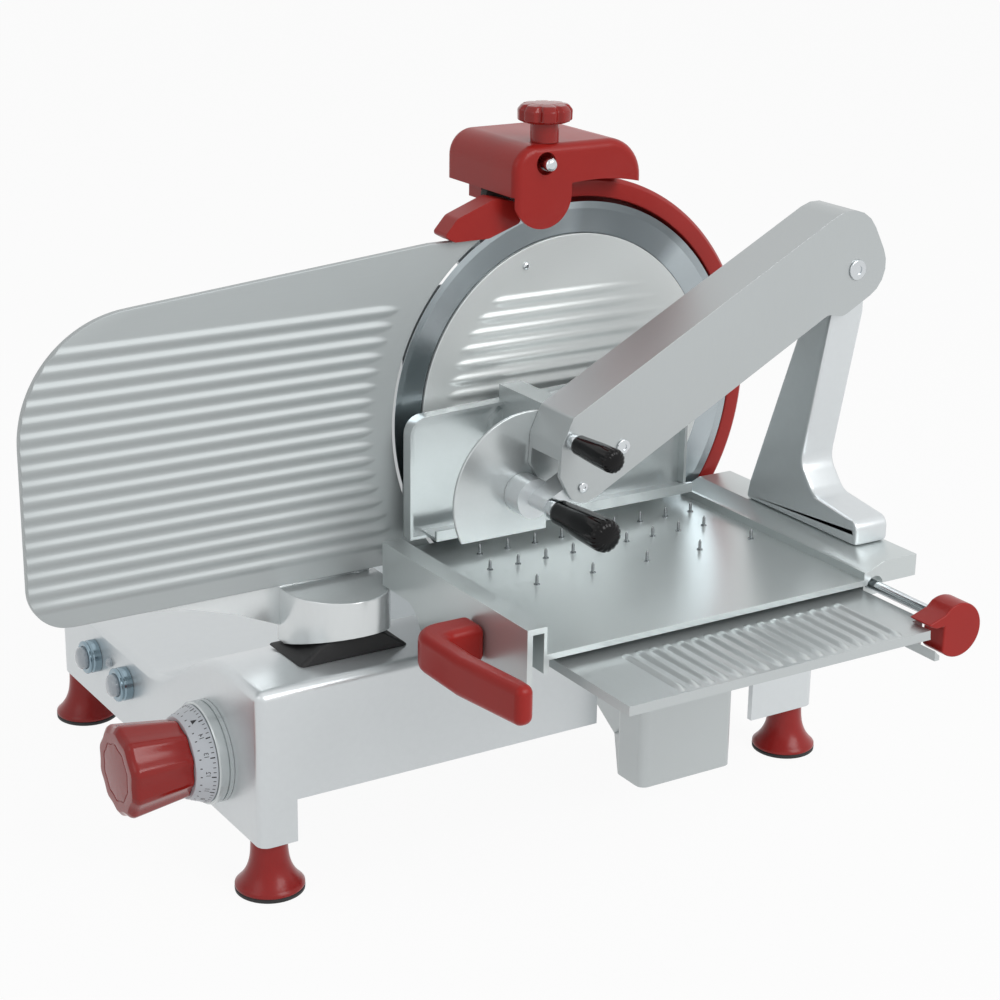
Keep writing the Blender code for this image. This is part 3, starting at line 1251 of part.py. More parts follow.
def make_sharpener():
    """The hood with its stones on a post, a clamp knob on top and a press pin in front."""
    lap = HOOD_BOTTOM + OVERRUN * 2
    tongue = arc((TONGUE_X, HOOD_BOTTOM), TONGUE_RADIUS, -180, 0, 24)
    tongue = [(TONGUE_X - TONGUE_RADIUS, lap)] + tongue + [(TONGUE_X + TONGUE_RADIUS, lap)]
    deep = HOOD_BOTTOM - HOOD_ROUND * 2
    shoulder = [
        (HOOD_LEFT, deep, 0),
        (HOOD_LEFT, HOOD_TOP, HOOD_SHOULDER),
        (HOOD_RIGHT, HOOD_TOP, HOOD_SHOULDER),
        (HOOD_RIGHT, deep, 0),
    ]
    hood = outline_solid("sharpener_hood", rounded(shoulder, 8), "y", HOOD_FRONT, HOOD_BACK)
    place(hood, "red_plastic", (SHARP_KNOB_X, POST_MIDDLE, HOOD_BOTTOM))
    soften(hood, HOOD_ROUND, 3, 50)
    open_end = TONGUE_X + TONGUE_RADIUS
    trim = [
        (HOOD_LEFT - OVERRUN, HOOD_BOTTOM),
        (open_end, HOOD_BOTTOM),
        (open_end, HOOD_ARCH),
        (HOOD_RIGHT + OVERRUN, HOOD_ARCH),
        (HOOD_RIGHT + OVERRUN, deep - OVERRUN),
        (HOOD_LEFT - OVERRUN, deep - OVERRUN),
    ]
    beyond = (HOOD_FRONT - OVERRUN, HOOD_BACK + OVERRUN)
    cut(hood, outline_solid("hood_trim", trim, "y", *beyond))
    inner = [
        (HOOD_LEFT + HOOD_WALL, deep, 0),
        (HOOD_LEFT + HOOD_WALL, HOOD_TOP - HOOD_WALL, HOOD_SHOULDER - HOOD_WALL),
        (HOOD_RIGHT - HOOD_WALL, HOOD_TOP - HOOD_WALL, HOOD_SHOULDER - HOOD_WALL),
        (HOOD_RIGHT - HOOD_WALL, deep, 0),
    ]
    room = (HOOD_FRONT + HOOD_WALL, HOOD_BACK - HOOD_WALL)
    cut(hood, outline_solid("hood_inside", rounded(inner, 8), "y", *room))
    tongue_y = (HOOD_FRONT + SEAT, HOOD_FRONT + HOOD_WALL - SEAT)
    join(hood, outline_solid("hood_tongue", tongue, "y", *tongue_y))
    socket = (
        (GRIND_X - STONE_AXLE * 2, SHARP_KNOB_X + POST_WIDTH),
        (POST_FRONT - SOCKET_WALL, POST_FRONT + POST_DEPTH + SOCKET_WALL),
        (GRIND_Z - STONE_AXLE * 3, HOOD_TOP - HOOD_WALL / 2),
    )
    join(hood, box("hood_socket", *socket))
    slot = (
        (SHARP_KNOB_X - POST_WIDTH / 2 - SEAT, SHARP_KNOB_X + POST_WIDTH / 2 + SEAT),
        (POST_FRONT - SEAT, POST_FRONT + POST_DEPTH + SEAT),
        (GRIND_Z - STONE_AXLE * 4, POST_TOP + SEAT),
    )
    cut(hood, box("hood_slot", *slot))
    notch = (GRIND_Y - GRIND_WIDTH, GRIND_Y + GRIND_WIDTH)
    cut(hood, rod("stone_notch", "y", (GRIND_X, GRIND_Z), *notch, GRIND_RADIUS + OVERRUN, ROUND))
    window = (HOOD_FRONT - OVERRUN, HOOD_FRONT + HOOD_WALL + OVERRUN)
    cut(hood, rod("pin_window", "y", (HOLE_X, HOLE_Z), *window, HOLE_RADIUS, ROUND))
    screw = (HOOD_TOP - HOOD_WALL - OVERRUN, HOOD_TOP + OVERRUN)
    at = (SHARP_KNOB_X, SHARP_KNOB_Y)
    cut(hood, rod("knob_hole", "z", at, *screw, KNOB_SCREW + SEAT))
    axle_bore = (socket[1][0] - OVERRUN, POST_FRONT)
    cut(hood, rod("axle_bore", "y", (GRIND_X, GRIND_Z), *axle_bore, STONE_AXLE + SEAT))
    post = box(
        "sharpener_post",
        (SHARP_KNOB_X - POST_WIDTH / 2, SHARP_KNOB_X + POST_WIDTH / 2),
        (POST_FRONT, POST_FRONT + POST_DEPTH),
        (POST_BOTTOM, POST_TOP),
    )
    place(post, "polished_steel")

    stem_low = HOOD_TOP + SEAT
    cap_low = stem_low + SHARP_STEM_HEIGHT
    cap_top = cap_low + SHARP_KNOB_HEIGHT
    lobes = []
    for i in range(SHARP_KNOB_LOBES * LOBE_STEPS):
        angle = 2 * math.pi * (i + 0.5) / (SHARP_KNOB_LOBES * LOBE_STEPS)
        wave = 1 - LOBE_SHARE * (1 - math.cos(SHARP_KNOB_LOBES * angle)) / 2
        radius = SHARP_KNOB_RADIUS * wave
        lobes.append((at[0] + radius * math.cos(angle), at[1] + radius * math.sin(angle)))
    knob = outline_solid("sharpener_knob", lobes, "z", cap_low, cap_top)
    place(knob, "red_plastic", (at[0], at[1], cap_low))
    soften(knob, LOBE_ROUND, 2, 50)
    stem = (stem_low, cap_low + LOBE_ROUND)
    join(knob, rod("knob_stem", "z", at, *stem, SHARP_STEM_RADIUS, COARSE))
    screw = (HOOD_TOP - KNOB_SCREW_REACH, stem_low + OVERRUN)
    join(knob, rod("knob_screw", "z", at, *screw, KNOB_SCREW, COARSE))

    profile = [
        (0, POST_FRONT - SEAT),
        (STONE_AXLE, POST_FRONT - SEAT),
        (STONE_AXLE, GRIND_Y + GRIND_WIDTH / 2),
        (GRIND_RADIUS, GRIND_Y + GRIND_WIDTH / 2),
        (GRIND_RADIUS, GRIND_Y - GRIND_WIDTH / 2),
        (0, GRIND_Y - GRIND_WIDTH / 2),
    ]
    turned("grinding_stone", profile, "y", (GRIND_X, GRIND_Z), ROUND, False, "grinding_stone")
    hone = (HONE_Y - HONE_WIDTH / 2, HONE_Y + HONE_WIDTH / 2)
    profile = [
        (0, hone[1]),
        (HONE_RADIUS, hone[1]),
        (HONE_RADIUS, hone[0]),
        (PIN_RADIUS, hone[0]),
        (PIN_RADIUS, HOOD_FRONT - PIN_REACH + BUTTON_EDGE_ROUND),
        (PIN_RADIUS - BUTTON_EDGE_ROUND, HOOD_FRONT - PIN_REACH),
        (0, HOOD_FRONT - PIN_REACH),
    ]
    turned("honing_pin", profile, "y", (HOLE_X, HOLE_Z), ROUND, False, "chrome")


def make_carriage():
    """The ribbed plate with its stem, which runs on a rail inside the base."""
    plate = box(
        "carriage",
        (CARRIAGE_LEFT, CARRIAGE_RIGHT),
        (CARRIAGE_FRONT, CARRIAGE_BACK),
        (CARRIAGE_TOP - CARRIAGE_THICKNESS, CARRIAGE_TOP),
    )
    place(plate, "satin_aluminium")
    under = CARRIAGE_TOP - CARRIAGE_THICKNESS / 2
    flange = (
        (CARRIAGE_RIGHT - FLANGE_THICKNESS, CARRIAGE_RIGHT),
        (CARRIAGE_FRONT, CARRIAGE_BACK),
        (CARRIAGE_TOP - FLANGE_DROP, under),
    )
    join(plate, box("carriage_flange", *flange))
    ribs = []
    for i in range(CARRIAGE_RIB_COUNT):
        x = CARRIAGE_RIB_FIRST + i * CARRIAGE_RIB_PITCH
        rib = (
            (x - CARRIAGE_RIB_WIDTH / 2, x + CARRIAGE_RIB_WIDTH / 2),
            (CARRIAGE_FRONT + CARRIAGE_RIB_MARGIN, CARRIAGE_RIB_BACK),
            (under, CARRIAGE_TOP + CARRIAGE_RIB_HEIGHT),
        )
        ribs.append(box("carriage_rib", *rib))
    join(plate, many("carriage_ribs", ribs))
    stem = [
        (STEM_LEFT, STEM_FRONT, STEM_CORNER),
        (STEM_RIGHT, STEM_FRONT, STEM_CORNER),
        (STEM_RIGHT, STEM_BACK, STEM_CORNER),
        (STEM_LEFT, STEM_BACK, STEM_CORNER),
    ]
    join(plate, outline_solid("stem_form", rounded(stem), "z", STEM_BOTTOM, under))
    shoe = [
        ((STEM_FRONT + STEM_BACK) / 2, STEM_BOTTOM + RUNNING),
        (STEM_INNER_BACK, STEM_BOTTOM + RUNNING),
        (STEM_INNER_BACK, RAIL_Z),
        (STEM_INNER_FRONT, RAIL_Z),
        (STEM_INNER_FRONT, STEM_BOTTOM + STEM_SOLE),
        ((STEM_FRONT + STEM_BACK) / 2, STEM_BOTTOM + STEM_SOLE),
    ]
    shoe_x = (STEM_LEFT + RUNNING, STEM_RIGHT - RUNNING)
    join(plate, outline_solid("stem_shoe", shoe, "x", *shoe_x))
    middle = (STEM_LEFT + STEM_RIGHT) / 2
    bush = (middle - BUSH_LENGTH / 2, middle + BUSH_LENGTH / 2)
    join(plate, rod("stem_bush", "x", (RAIL_Y, RAIL_Z), *bush, RAIL_RADIUS + BUSH_WALL, ROUND))
    bore = (STEM_LEFT - OVERRUN, STEM_RIGHT + OVERRUN)
    cut(plate, rod("stem_bore", "x", (RAIL_Y, RAIL_Z), *bore, RAIL_RADIUS + SEAT, ROUND))
    lug = (ROD_BACK - LUG_LENGTH, ROD_BACK)
    join(plate, rod("rod_lug", "y", (ROD_X, ROD_Z), *lug, ROD_LUG, ROUND))
    web = (
        (CARRIAGE_RIGHT - FLANGE_THICKNESS / 2, ROD_X),
        (CARRIAGE_BACK - LUG_LENGTH / 2, ROD_BACK - RUNNING),
        (CARRIAGE_TOP - CARRIAGE_THICKNESS + RUNNING, ROD_Z - ROD_RADIUS - SEAT),
    )
    join(plate, box("lug_web", *web))
    cut(plate, rod("lug_bore", "y", (ROD_X, ROD_Z), lug[0] - OVERRUN, ROD_BACK + OVERRUN, ROD_BORE))
    block = (CARRIAGE_FRONT - OVERRUN, END_BLOCK_BACK + SEAT)
    at = (END_BLOCK_X, END_BLOCK_Z)
    cut(plate, rod("end_block_seat", "y", at, *block, END_BLOCK_RADIUS + SEAT, FINE))
    rail = (BASE_LEFT + BASE_WALL + SEAT, BASE_RIGHT - BASE_WALL - SEAT)
    place(rod("carriage_rail", "x", (RAIL_Y, RAIL_Z), *rail, RAIL_RADIUS, ROUND), "polished_steel")
    reach = (END_BLOCK_BACK + SEAT, ROD_BACK)
    place(rod("table_rod", "y", (ROD_X, ROD_Z), *reach, ROD_RADIUS, COARSE), "chrome")
    ends = (END_BLOCK_FRONT, END_BLOCK_BACK)
    end_block = rod("rod_end", "y", at, *ends, END_BLOCK_RADIUS, ROUND + COARSE)
    place(end_block, "red_plastic")
    soften(end_block, END_BLOCK_ROUND, 2, 50)


def make_table():
    """The meat table: one section drawn along y, with spikes, a hooked handle and the arm column."""
    wall_inside = TABLE_LEFT + WALL_THICKNESS
    web_right = TABLE_LEFT + WALL_CAP + OVERRUN
    web_left = web_right - WALL_THICKNESS
    cap_under = WALL_TOP - WALL_THICKNESS
    tray_under = TRAY_TOP - TRAY_THICKNESS
    section = [
        (TABLE_LEFT, WALL_BOTTOM),
        (TABLE_LEFT, WALL_TOP),
        (TABLE_LEFT + WALL_CAP, WALL_TOP),
        (TABLE_LEFT + WALL_CAP, TRAY_TOP),
        (RIDGE_LEFT, TRAY_TOP),
        (RIDGE_LEFT + SEAT, RIDGE_TOP),
        (RIDGE_RIGHT, RIDGE_TOP),
        (LEDGE_LEFT + LEDGE_SLOPE, LEDGE_TOP),
        (TABLE_RIGHT, LEDGE_TOP),
        (TABLE_RIGHT, LEDGE_BOTTOM),
        (LEDGE_LEFT, LEDGE_BOTTOM),
        (LEDGE_LEFT, tray_under),
        (web_right, tray_under),
        (web_right, WALL_HIGH_BOTTOM),
        (web_left, WALL_HIGH_BOTTOM),
        (web_left, cap_under),
        (wall_inside, cap_under),
        (wall_inside, WALL_BOTTOM),
    ]
    table = outline_solid("meat_table", section, "y", TABLE_FRONT, TABLE_BACK)
    place(table, "satin_aluminium")
    soften(table, TABLE_ROUND, 2, 50)
    behind = (
        (TABLE_LEFT - OVERRUN, web_right + SEAT),
        (TABLE_WALL_BACK, TABLE_BACK + OVERRUN),
        (WALL_BOTTOM - OVERRUN, WALL_TOP + OVERRUN),
    )
    cut(table, box("wall_end", *behind))
    corner = [
        (TABLE_BACK + OVERRUN, WALL_BOTTOM - OVERRUN, 0),
        (TABLE_BACK + OVERRUN, WALL_HIGH_BOTTOM, 0),
        (WALL_STEP_Y, WALL_HIGH_BOTTOM, WALL_STEP_ROUND),
        (WALL_STEP_Y - WALL_STEP_ROUND, WALL_BOTTOM - OVERRUN, 0),
    ]
    step_x = (TABLE_LEFT - OVERRUN, wall_inside + OVERRUN)
    cut(table, outline_solid("wall_step", rounded(corner, 6), "x", *step_x))
    groove = (TABLE_FRONT - OVERRUN, TABLE_BACK + OVERRUN)
    cut(table, rod("rod_groove", "y", (ROD_X, ROD_Z), *groove, ROD_GROOVE, COARSE))
    block = (
        (CARRIAGE_RIGHT + SEAT * 2, ROD_X + ROD_GROOVE + WALL_THICKNESS),
        (RAIL_BLOCK_FRONT, RAIL_BLOCK_BACK),
        (LEDGE_BOTTOM - RAIL_BLOCK_HEIGHT, TRAY_TOP + SEAT),
    )
    join(table, box("rail_block", *block))
    bore = (TABLE_FRONT - OVERRUN, TABLE_BACK + OVERRUN)
    cut(table, rod("rail_bore", "y", (ROD_X, ROD_Z), *bore, ROD_RADIUS + SEAT, COARSE))
    for name, x in (("left_strip", LEFT_STRIP_X), ("right_strip", RIGHT_STRIP_X)):
        strip = (
            (x - STRIP_WIDTH / 2, x + STRIP_WIDTH / 2),
            (STRIP_FRONT, STRIP_BACK),
            (CARRIAGE_TOP + SEAT, TRAY_TOP - TRAY_THICKNESS / 2),
        )
        join(table, box(name, *strip))
    spikes = []
    for row, (y, first, count) in enumerate(SPIKE_ROWS):
        pitch = SPIKE_BACK_PITCH if row == SPIKE_SPREAD_ROW else SPIKE_PITCH
        for i in range(count):
            root = TRAY_TOP - TRAY_THICKNESS / 2
            top = TRAY_TOP + SPIKE_HEIGHT
            at = (first + i * pitch, y)
            tip = SPIKE_RADIUS * SPIKE_TIP_SHARE
            spikes.append(rod("spike", "z", at, root, top, SPIKE_RADIUS, SPIKE_SIDES, tip))
    join(table, many("spikes", spikes))

    outer = TABLE_LEFT - SEAT
    plan = [
        (outer, HANDLE_BACK, 0),
        (HANDLE_LEFT, HANDLE_BACK, HANDLE_BEND),
        (HANDLE_LEFT, (HANDLE_BACK + HANDLE_FRONT) / 2, 0),
        (HANDLE_TIP_X - HANDLE_TIP, HANDLE_FRONT, HANDLE_TIP / 2 - SEAT),
        (HANDLE_TIP_X, HANDLE_FRONT, HANDLE_TIP / 2 - SEAT),
        (HANDLE_TIP_X, HANDLE_FRONT + HANDLE_TIP, 0),
        (HANDLE_LEFT + HANDLE_BAR, (HANDLE_BACK + HANDLE_FRONT) / 2, 0),
        (HANDLE_LEFT + HANDLE_BAR, HANDLE_BACK - HANDLE_ROOT, HANDLE_ROUND * 2),
        (outer, HANDLE_BACK - HANDLE_ROOT, 0),
    ]
    handle = outline_solid("table_handle", rounded(plan, 8), "z", HANDLE_BOTTOM, HANDLE_TOP)
    place(handle, "red_plastic")
    soften(handle, HANDLE_ROUND, 2, 60)

    low = LEDGE_TOP + SEAT
    side = [
        (COLUMN_BACK, low, 0),
        (COLUMN_BACK - COLUMN_ROUND, low + COLUMN_TOE * COLUMN_TOE_SHARE, 0),
        (COLUMN_NECK_BACK, COLUMN_NECK_Z, 0),
        (COLUMN_NECK_BACK, COLUMN_HEAD, 0),
        (COLUMN_NECK_FRONT, COLUMN_HEAD, 0),
        (COLUMN_NECK_FRONT, COLUMN_NECK_Z, 0),
        (COLUMN_WAIST_Y, COLUMN_WAIST_Z, COLUMN_BEND),
        (COLUMN_SHOE_Y, low + COLUMN_TOE + COLUMN_ROUND * 2, COLUMN_BEND),
        (COLUMN_FRONT, low + COLUMN_TOE, COLUMN_ROUND * 2),
        (COLUMN_FRONT, low, 0),
    ]
    column = outline_solid("arm_column", rounded(side, 6), "x", COLUMN_LEFT, COLUMN_RIGHT)
    place(column, "cast_aluminium")
    soften(column, COLUMN_ROUND, 2, 50)
    crown = outline_solid(
        "column_crown",
        [
            (COLUMN_LEFT - OVERRUN, PIVOT_Z),
            *arc((PIVOT_X, PIVOT_Z), CROWN_RADIUS, 180, 0, 24),
            (COLUMN_RIGHT + OVERRUN, PIVOT_Z),
            (COLUMN_RIGHT + OVERRUN, COLUMN_HEAD + OVERRUN),
            (COLUMN_LEFT - OVERRUN, COLUMN_HEAD + OVERRUN),
        ],
        "y",
        COLUMN_NECK_FRONT - OVERRUN,
        COLUMN_NECK_BACK + OVERRUN,
    )
    cut(column, crown)
    pivot = (COLUMN_NECK_FRONT - OVERRUN, COLUMN_NECK_BACK + OVERRUN)
    hole = rod("column_hole", "y", (PIVOT_X, PIVOT_Z), *pivot, ARM_PIN_RADIUS + SEAT, COARSE)
    cut(column, hole)


def along_arm(along, above):
    """A place in the machine from one measured along the arm from its pivot and above that line."""
    lean = math.radians(ARM_SLOPE)
    x = PIVOT_X - along * math.cos(lean) - above * math.sin(lean)
    return x, PIVOT_Z - along * math.sin(lean) + above * math.cos(lean)


def at_nose(ahead, above):
    """A place in the machine from one measured beyond the arm's end and above its line."""
    return along_arm(ARM_LENGTH + ahead, above)


def arm_outline(corners, steps=5):
    points = rounded(corners, steps)
    return [along_arm(a, b) for a, b in points]


def make_arm():
    """The press arm: a channel open below, with the grips and the hand guard on its nose."""
    outer = [
        (-ARM_HEEL, ARM_ABOVE, ARM_HEEL),
        (-ARM_HEEL, -ARM_HEEL_DROP, ARM_HEEL_DROP),
        (ARM_HEEL_DROP, -ARM_HEEL_DROP, ARM_ROUND),
        (ARM_HEEL_DROP + ARM_ROUND, -ARM_BELOW, ARM_ROUND),
        (ARM_LENGTH, -ARM_BELOW, ARM_BELOW),
        (ARM_LENGTH, ARM_NOSE_STEP, 0),
        (ARM_NOSE_MIDDLE, ARM_NOSE_BEND, ARM_ROUND),
        (ARM_NOSE, ARM_ABOVE, ARM_NOSE_ROUND),
    ]
    arm = outline_solid("press_arm", arm_outline(outer), "y", ARM_FRONT, ARM_BACK)
    place(arm, "satin_aluminium", (PIVOT_X, (ARM_FRONT + ARM_BACK) / 2, PIVOT_Z))
    soften(arm, ARM_EDGE_ROUND, 2, 50)
    inside = ARM_ABOVE - ARM_WALL
    inner = [
        (-ARM_HEEL + ARM_WALL, inside, ARM_HEEL - ARM_WALL),
        (-ARM_HEEL + ARM_WALL, -ARM_HEEL_DROP * 2, 0),
        (ARM_LENGTH + ARM_ROUND, -ARM_HEEL_DROP * 2, 0),
        (ARM_LENGTH + ARM_ROUND, ARM_NOSE_STEP - RUNNING, 0),
        (ARM_NOSE_MIDDLE - ARM_WALL, ARM_NOSE_BEND - ARM_WALL, 0),
        (ARM_NOSE - ARM_WALL, inside, 0),
    ]
    room = (ARM_FRONT + ARM_WALL, ARM_BACK - ARM_WALL)
    cut(arm, outline_solid("arm_inside", arm_outline(inner), "y", *room))
    through = (ARM_FRONT - OVERRUN, ARM_BACK + OVERRUN)
    hole = rod("arm_pin_hole", "y", (PIVOT_X, PIVOT_Z), *through, ARM_PIN_RADIUS + SEAT, COARSE)
    cut(arm, hole)
    at = at_nose(PRESS_PIN_AHEAD, PRESS_PIN_ABOVE)
    cut(arm, rod("press_pin_hole", "y", at, *through, BOLT_RADIUS + SEAT, COARSE))
    knob_hole = (ARM_FRONT - OVERRUN, ARM_FRONT + ARM_WALL + OVERRUN)
    at = at_nose(KNOB_GRIP_AHEAD, KNOB_GRIP_ABOVE)
    cut(arm, rod("small_grip_hole", "y", at, *knob_hole, GRIP_SCREW + SEAT, COARSE))
    at = at_nose(LINK_SCREW_AHEAD, LINK_SCREW_ABOVE)
    cut(arm, rod("link_screw_hole", "y", at, *knob_hole, GRIP_SCREW + SEAT, COARSE))
    front = ARM_FRONT - SEAT
    back = ARM_BACK + SEAT
    profile = [
        (0, back + ARM_PIN_HEAD_HEIGHT),
        (ARM_PIN_HEAD, back + ARM_PIN_HEAD_HEIGHT),
        (ARM_PIN_HEAD, back),
        (ARM_PIN_RADIUS, back),
        (ARM_PIN_RADIUS, front),
        (ARM_PIN_HEAD, front),
        (ARM_PIN_HEAD, front - ARM_PIN_HEAD_HEIGHT),
        (0, front - ARM_PIN_HEAD_HEIGHT),
    ]
    turned("arm_pin", profile, "y", (PIVOT_X, PIVOT_Z), ROUND, False, "polished_steel")


def make_grips():
    """The hub, its link into the arm, the hand guard and the two grips."""
    grip = at_nose(GRIP_AHEAD, GRIP_ABOVE)
    link_screw = at_nose(LINK_SCREW_AHEAD, LINK_SCREW_ABOVE)
    guard_back = ARM_BACK + SEAT + GUARD_PLATE_THICKNESS
    guard_front = ARM_BACK + SEAT
    middle = (grip[0] + GUARD_PLATE_SIDE, grip[1] - GUARD_PLATE_DROP)
    right, bottom = grip[0] + GUARD_PLATE_EDGE, grip[1] - GUARD_PLATE_FOOT
    high = math.degrees(math.acos((right - middle[0]) / GUARD_PLATE_RADIUS))
    low = math.degrees(math.asin((bottom - middle[1]) / GUARD_PLATE_RADIUS))
    sector = arc(middle, GUARD_PLATE_RADIUS, high, 180 - low, 36) + [(right, bottom)]
    guard = outline_solid("hand_guard", sector, "y", guard_front, guard_back)
    place(guard, "cast_aluminium")
    hub_front, hub_back = GRIP_START, guard_front - SEAT
    link = rod("grip_link", "y", grip, hub_front, hub_back, LINK_HUB, ROUND)
    place(link, "cast_aluminium")
    reach = Vector(link_screw) - Vector(grip)
    step = reach.normalized()
    side = Vector((-step.y, step.x)) * LINK_WIDTH / 2
    start = Vector(grip)
    end = Vector(link_screw) + step * LINK_WIDTH / 2
    bar = [start + side, end + side, end - side, start - side]
    bar_y = (ARM_FRONT + ARM_WALL + SEAT, ARM_FRONT + ARM_WALL + SEAT + LINK_THICKNESS)
    join(link, outline_solid("link_bar", [tuple(p) for p in bar], "y", bar_y[0], hub_front + OVERRUN))
    ferrule_back = bar_y[0] if bar_y[0] < hub_front else hub_front
    ferrule = (ferrule_back - SEAT - FERRULE_LENGTH, ferrule_back - SEAT)
    bar_hub = rod("link_hub", "y", grip, bar_y[0], hub_front + OVERRUN, LINK_WIDTH / 2)
    join(link, bar_hub)
    place(
        rod("grip_ferrule", "y", grip, *ferrule, FERRULE_RADIUS, ROUND), "chrome"
    )
    inner = ferrule[0] - SEAT
    span = GRIP_END - inner
    bulge = GRIP_LARGE - GRIP_SMALL
    swell = [(GRIP_SMALL + bulge * wide, inner + span * out) for out, wide in GRIP_SHARES]
    profile = [(0, inner)] + swell + [(0, GRIP_END)]
    turned("main_grip", profile, "y", grip, ROUND, False, "black_plastic")
    inner = ARM_FRONT - SEAT
    span = KNOB_GRIP_END - inner
    bulge = KNOB_GRIP_LARGE - KNOB_GRIP_SMALL
    swell = [(KNOB_GRIP_SMALL + bulge * wide, inner + span * out) for out, wide in GRIP_SHARES]
    screw = ARM_FRONT + ARM_WALL + OVERRUN
    stud = [(0, screw), (GRIP_SCREW, screw), (GRIP_SCREW, inner)]
    profile = stud + swell + [(0, KNOB_GRIP_END)]
    small = at_nose(KNOB_GRIP_AHEAD, KNOB_GRIP_ABOVE)
    turned("small_grip", profile, "y", small, ROUND, False, "black_plastic")
    profile = [
        (0, bar_y[0]),
        (GRIP_SCREW, bar_y[0]),
        (GRIP_SCREW, inner),
        (LINK_SCREW_HEAD, inner),
        (LINK_SCREW_HEAD, inner - ARM_PIN_HEAD_HEIGHT),
        (0, inner - ARM_PIN_HEAD_HEIGHT),
    ]
    at = at_nose(LINK_SCREW_AHEAD, LINK_SCREW_ABOVE)
    turned("link_screw", profile, "y", at, COARSE, False, "polished_steel")


def make_press():
    """The press plate with its rim and shelf, hung on a bolt through the arm."""
    pin_x, pin_z = at_nose(PRESS_PIN_AHEAD, PRESS_PIN_ABOVE)
    sheet_front = PRESS_BACK - PRESS_SHEET
    corners = [
        (PRESS_LEFT, PRESS_BOTTOM, 0),
        (PRESS_LEFT, PRESS_TOP_LEFT, PRESS_CORNER),
        (PRESS_RIGHT, PRESS_TOP_RIGHT, PRESS_CORNER),
        (PRESS_RIGHT, PRESS_BOTTOM, 0),
    ]
    front = PRESS_BACK - PRESS_RIM
    origin = (pin_x, (ARM_FRONT + ARM_BACK) / 2, pin_z)
    press = outline_solid("press_plate", rounded(corners, 6), "y", front, PRESS_BACK)
    place(press, "satin_aluminium", origin)
    soften(press, PRESS_EDGE_ROUND, 2, 50)
    inner = [
        (PRESS_LEFT + PRESS_SHEET, PRESS_BOTTOM + PRESS_SHEET, 0),
        (PRESS_LEFT + PRESS_SHEET, PRESS_TOP_LEFT - PRESS_SHEET, PRESS_CORNER - PRESS_SHEET),
        (PRESS_RIGHT - PRESS_SHEET, PRESS_TOP_RIGHT - PRESS_SHEET, PRESS_CORNER - PRESS_SHEET),
        (PRESS_RIGHT - PRESS_SHEET, PRESS_BOTTOM + PRESS_SHEET, 0),
    ]
    room = (front - OVERRUN, sheet_front)
    cut(press, outline_solid("press_inside", rounded(inner, 6), "y", *room))
    shelf_front = PRESS_BACK - PRESS_SHELF
    shelf = [
        (sheet_front + SEAT, PRESS_BOTTOM + RUNNING),
        (sheet_front + SEAT, PRESS_BOTTOM + RUNNING + PRESS_SHEET),
        (shelf_front + PRESS_SHEET, PRESS_BOTTOM + RUNNING + PRESS_SHEET),
        (shelf_front + PRESS_SHEET, PRESS_BOTTOM + PRESS_LIP),
        (shelf_front, PRESS_BOTTOM + PRESS_LIP),
        (shelf_front, PRESS_BOTTOM + RUNNING),
    ]
    shelf_x = (PRESS_SHELF_LEFT, PRESS_SHELF_RIGHT)
    join(press, outline_solid("press_shelf", shelf, "x", *shelf_x))
    at = (pin_x, pin_z - SPACER_DROP)
    spacer = (ARM_BACK + SEAT, sheet_front + SEAT)
    flange = rod("press_flange", "y", at, sheet_front - SPACER_FLARE_DEPTH, spacer[1], SPACER_FLARE)
    join(press, flange)
    link = [
        (pin_x - SPACER_RADIUS, pin_z),
        (pin_x - SPACER_RADIUS, pin_z - SPACER_DROP - SPACER_RADIUS),
        (pin_x + SPACER_RADIUS, pin_z - SPACER_DROP - SPACER_RADIUS),
        (pin_x + SPACER_RADIUS, pin_z + SPACER_RADIUS),
        (pin_x - SPACER_RADIUS, pin_z + SPACER_RADIUS),
    ]
    shank = outline_solid("press_shank", link, "y", *spacer)
    join(press, shank)
    bolt_bore = (spacer[0] - OVERRUN, spacer[0] + SPACER_BORE)
    at = (pin_x, pin_z)
    cut(press, rod("press_bore", "y", at, *bolt_bore, BOLT_RADIUS + SEAT, COARSE))
    head = ARM_FRONT - SEAT
    profile = [
        (0, spacer[0] + SPACER_BORE - SEAT),
        (BOLT_RADIUS, spacer[0] + SPACER_BORE - SEAT),
        (BOLT_RADIUS, head),
        (BOLT_HEAD, head),
        (BOLT_HEAD, head - ARM_PIN_HEAD_HEIGHT),
        (0, head - ARM_PIN_HEAD_HEIGHT),
    ]
    turned("press_bolt", profile, "y", at, COARSE, False, "polished_steel")


clear_scene()
PARTS = make_collection("ham_slicer")
CUTTERS = make_collection("cutters")
CUTTERS.hide_render = True
ORIGIN = bpy.data.objects.new("slicer_origin", None)
ORIGIN.location = (ORIGIN_X, ORIGIN_Y, BLADE_HEIGHT)
PARTS.objects.link(ORIGIN)
make_base()
make_base_fittings()
make_dial()
make_buttons()
make_gauge()
make_blade()
make_drive()
make_housing()
make_case()
make_sharpener()
make_carriage()
make_table()
make_arm()
make_grips()
make_press()
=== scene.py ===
import json
import math

import bmesh
import bpy
from mathutils import Matrix, Vector

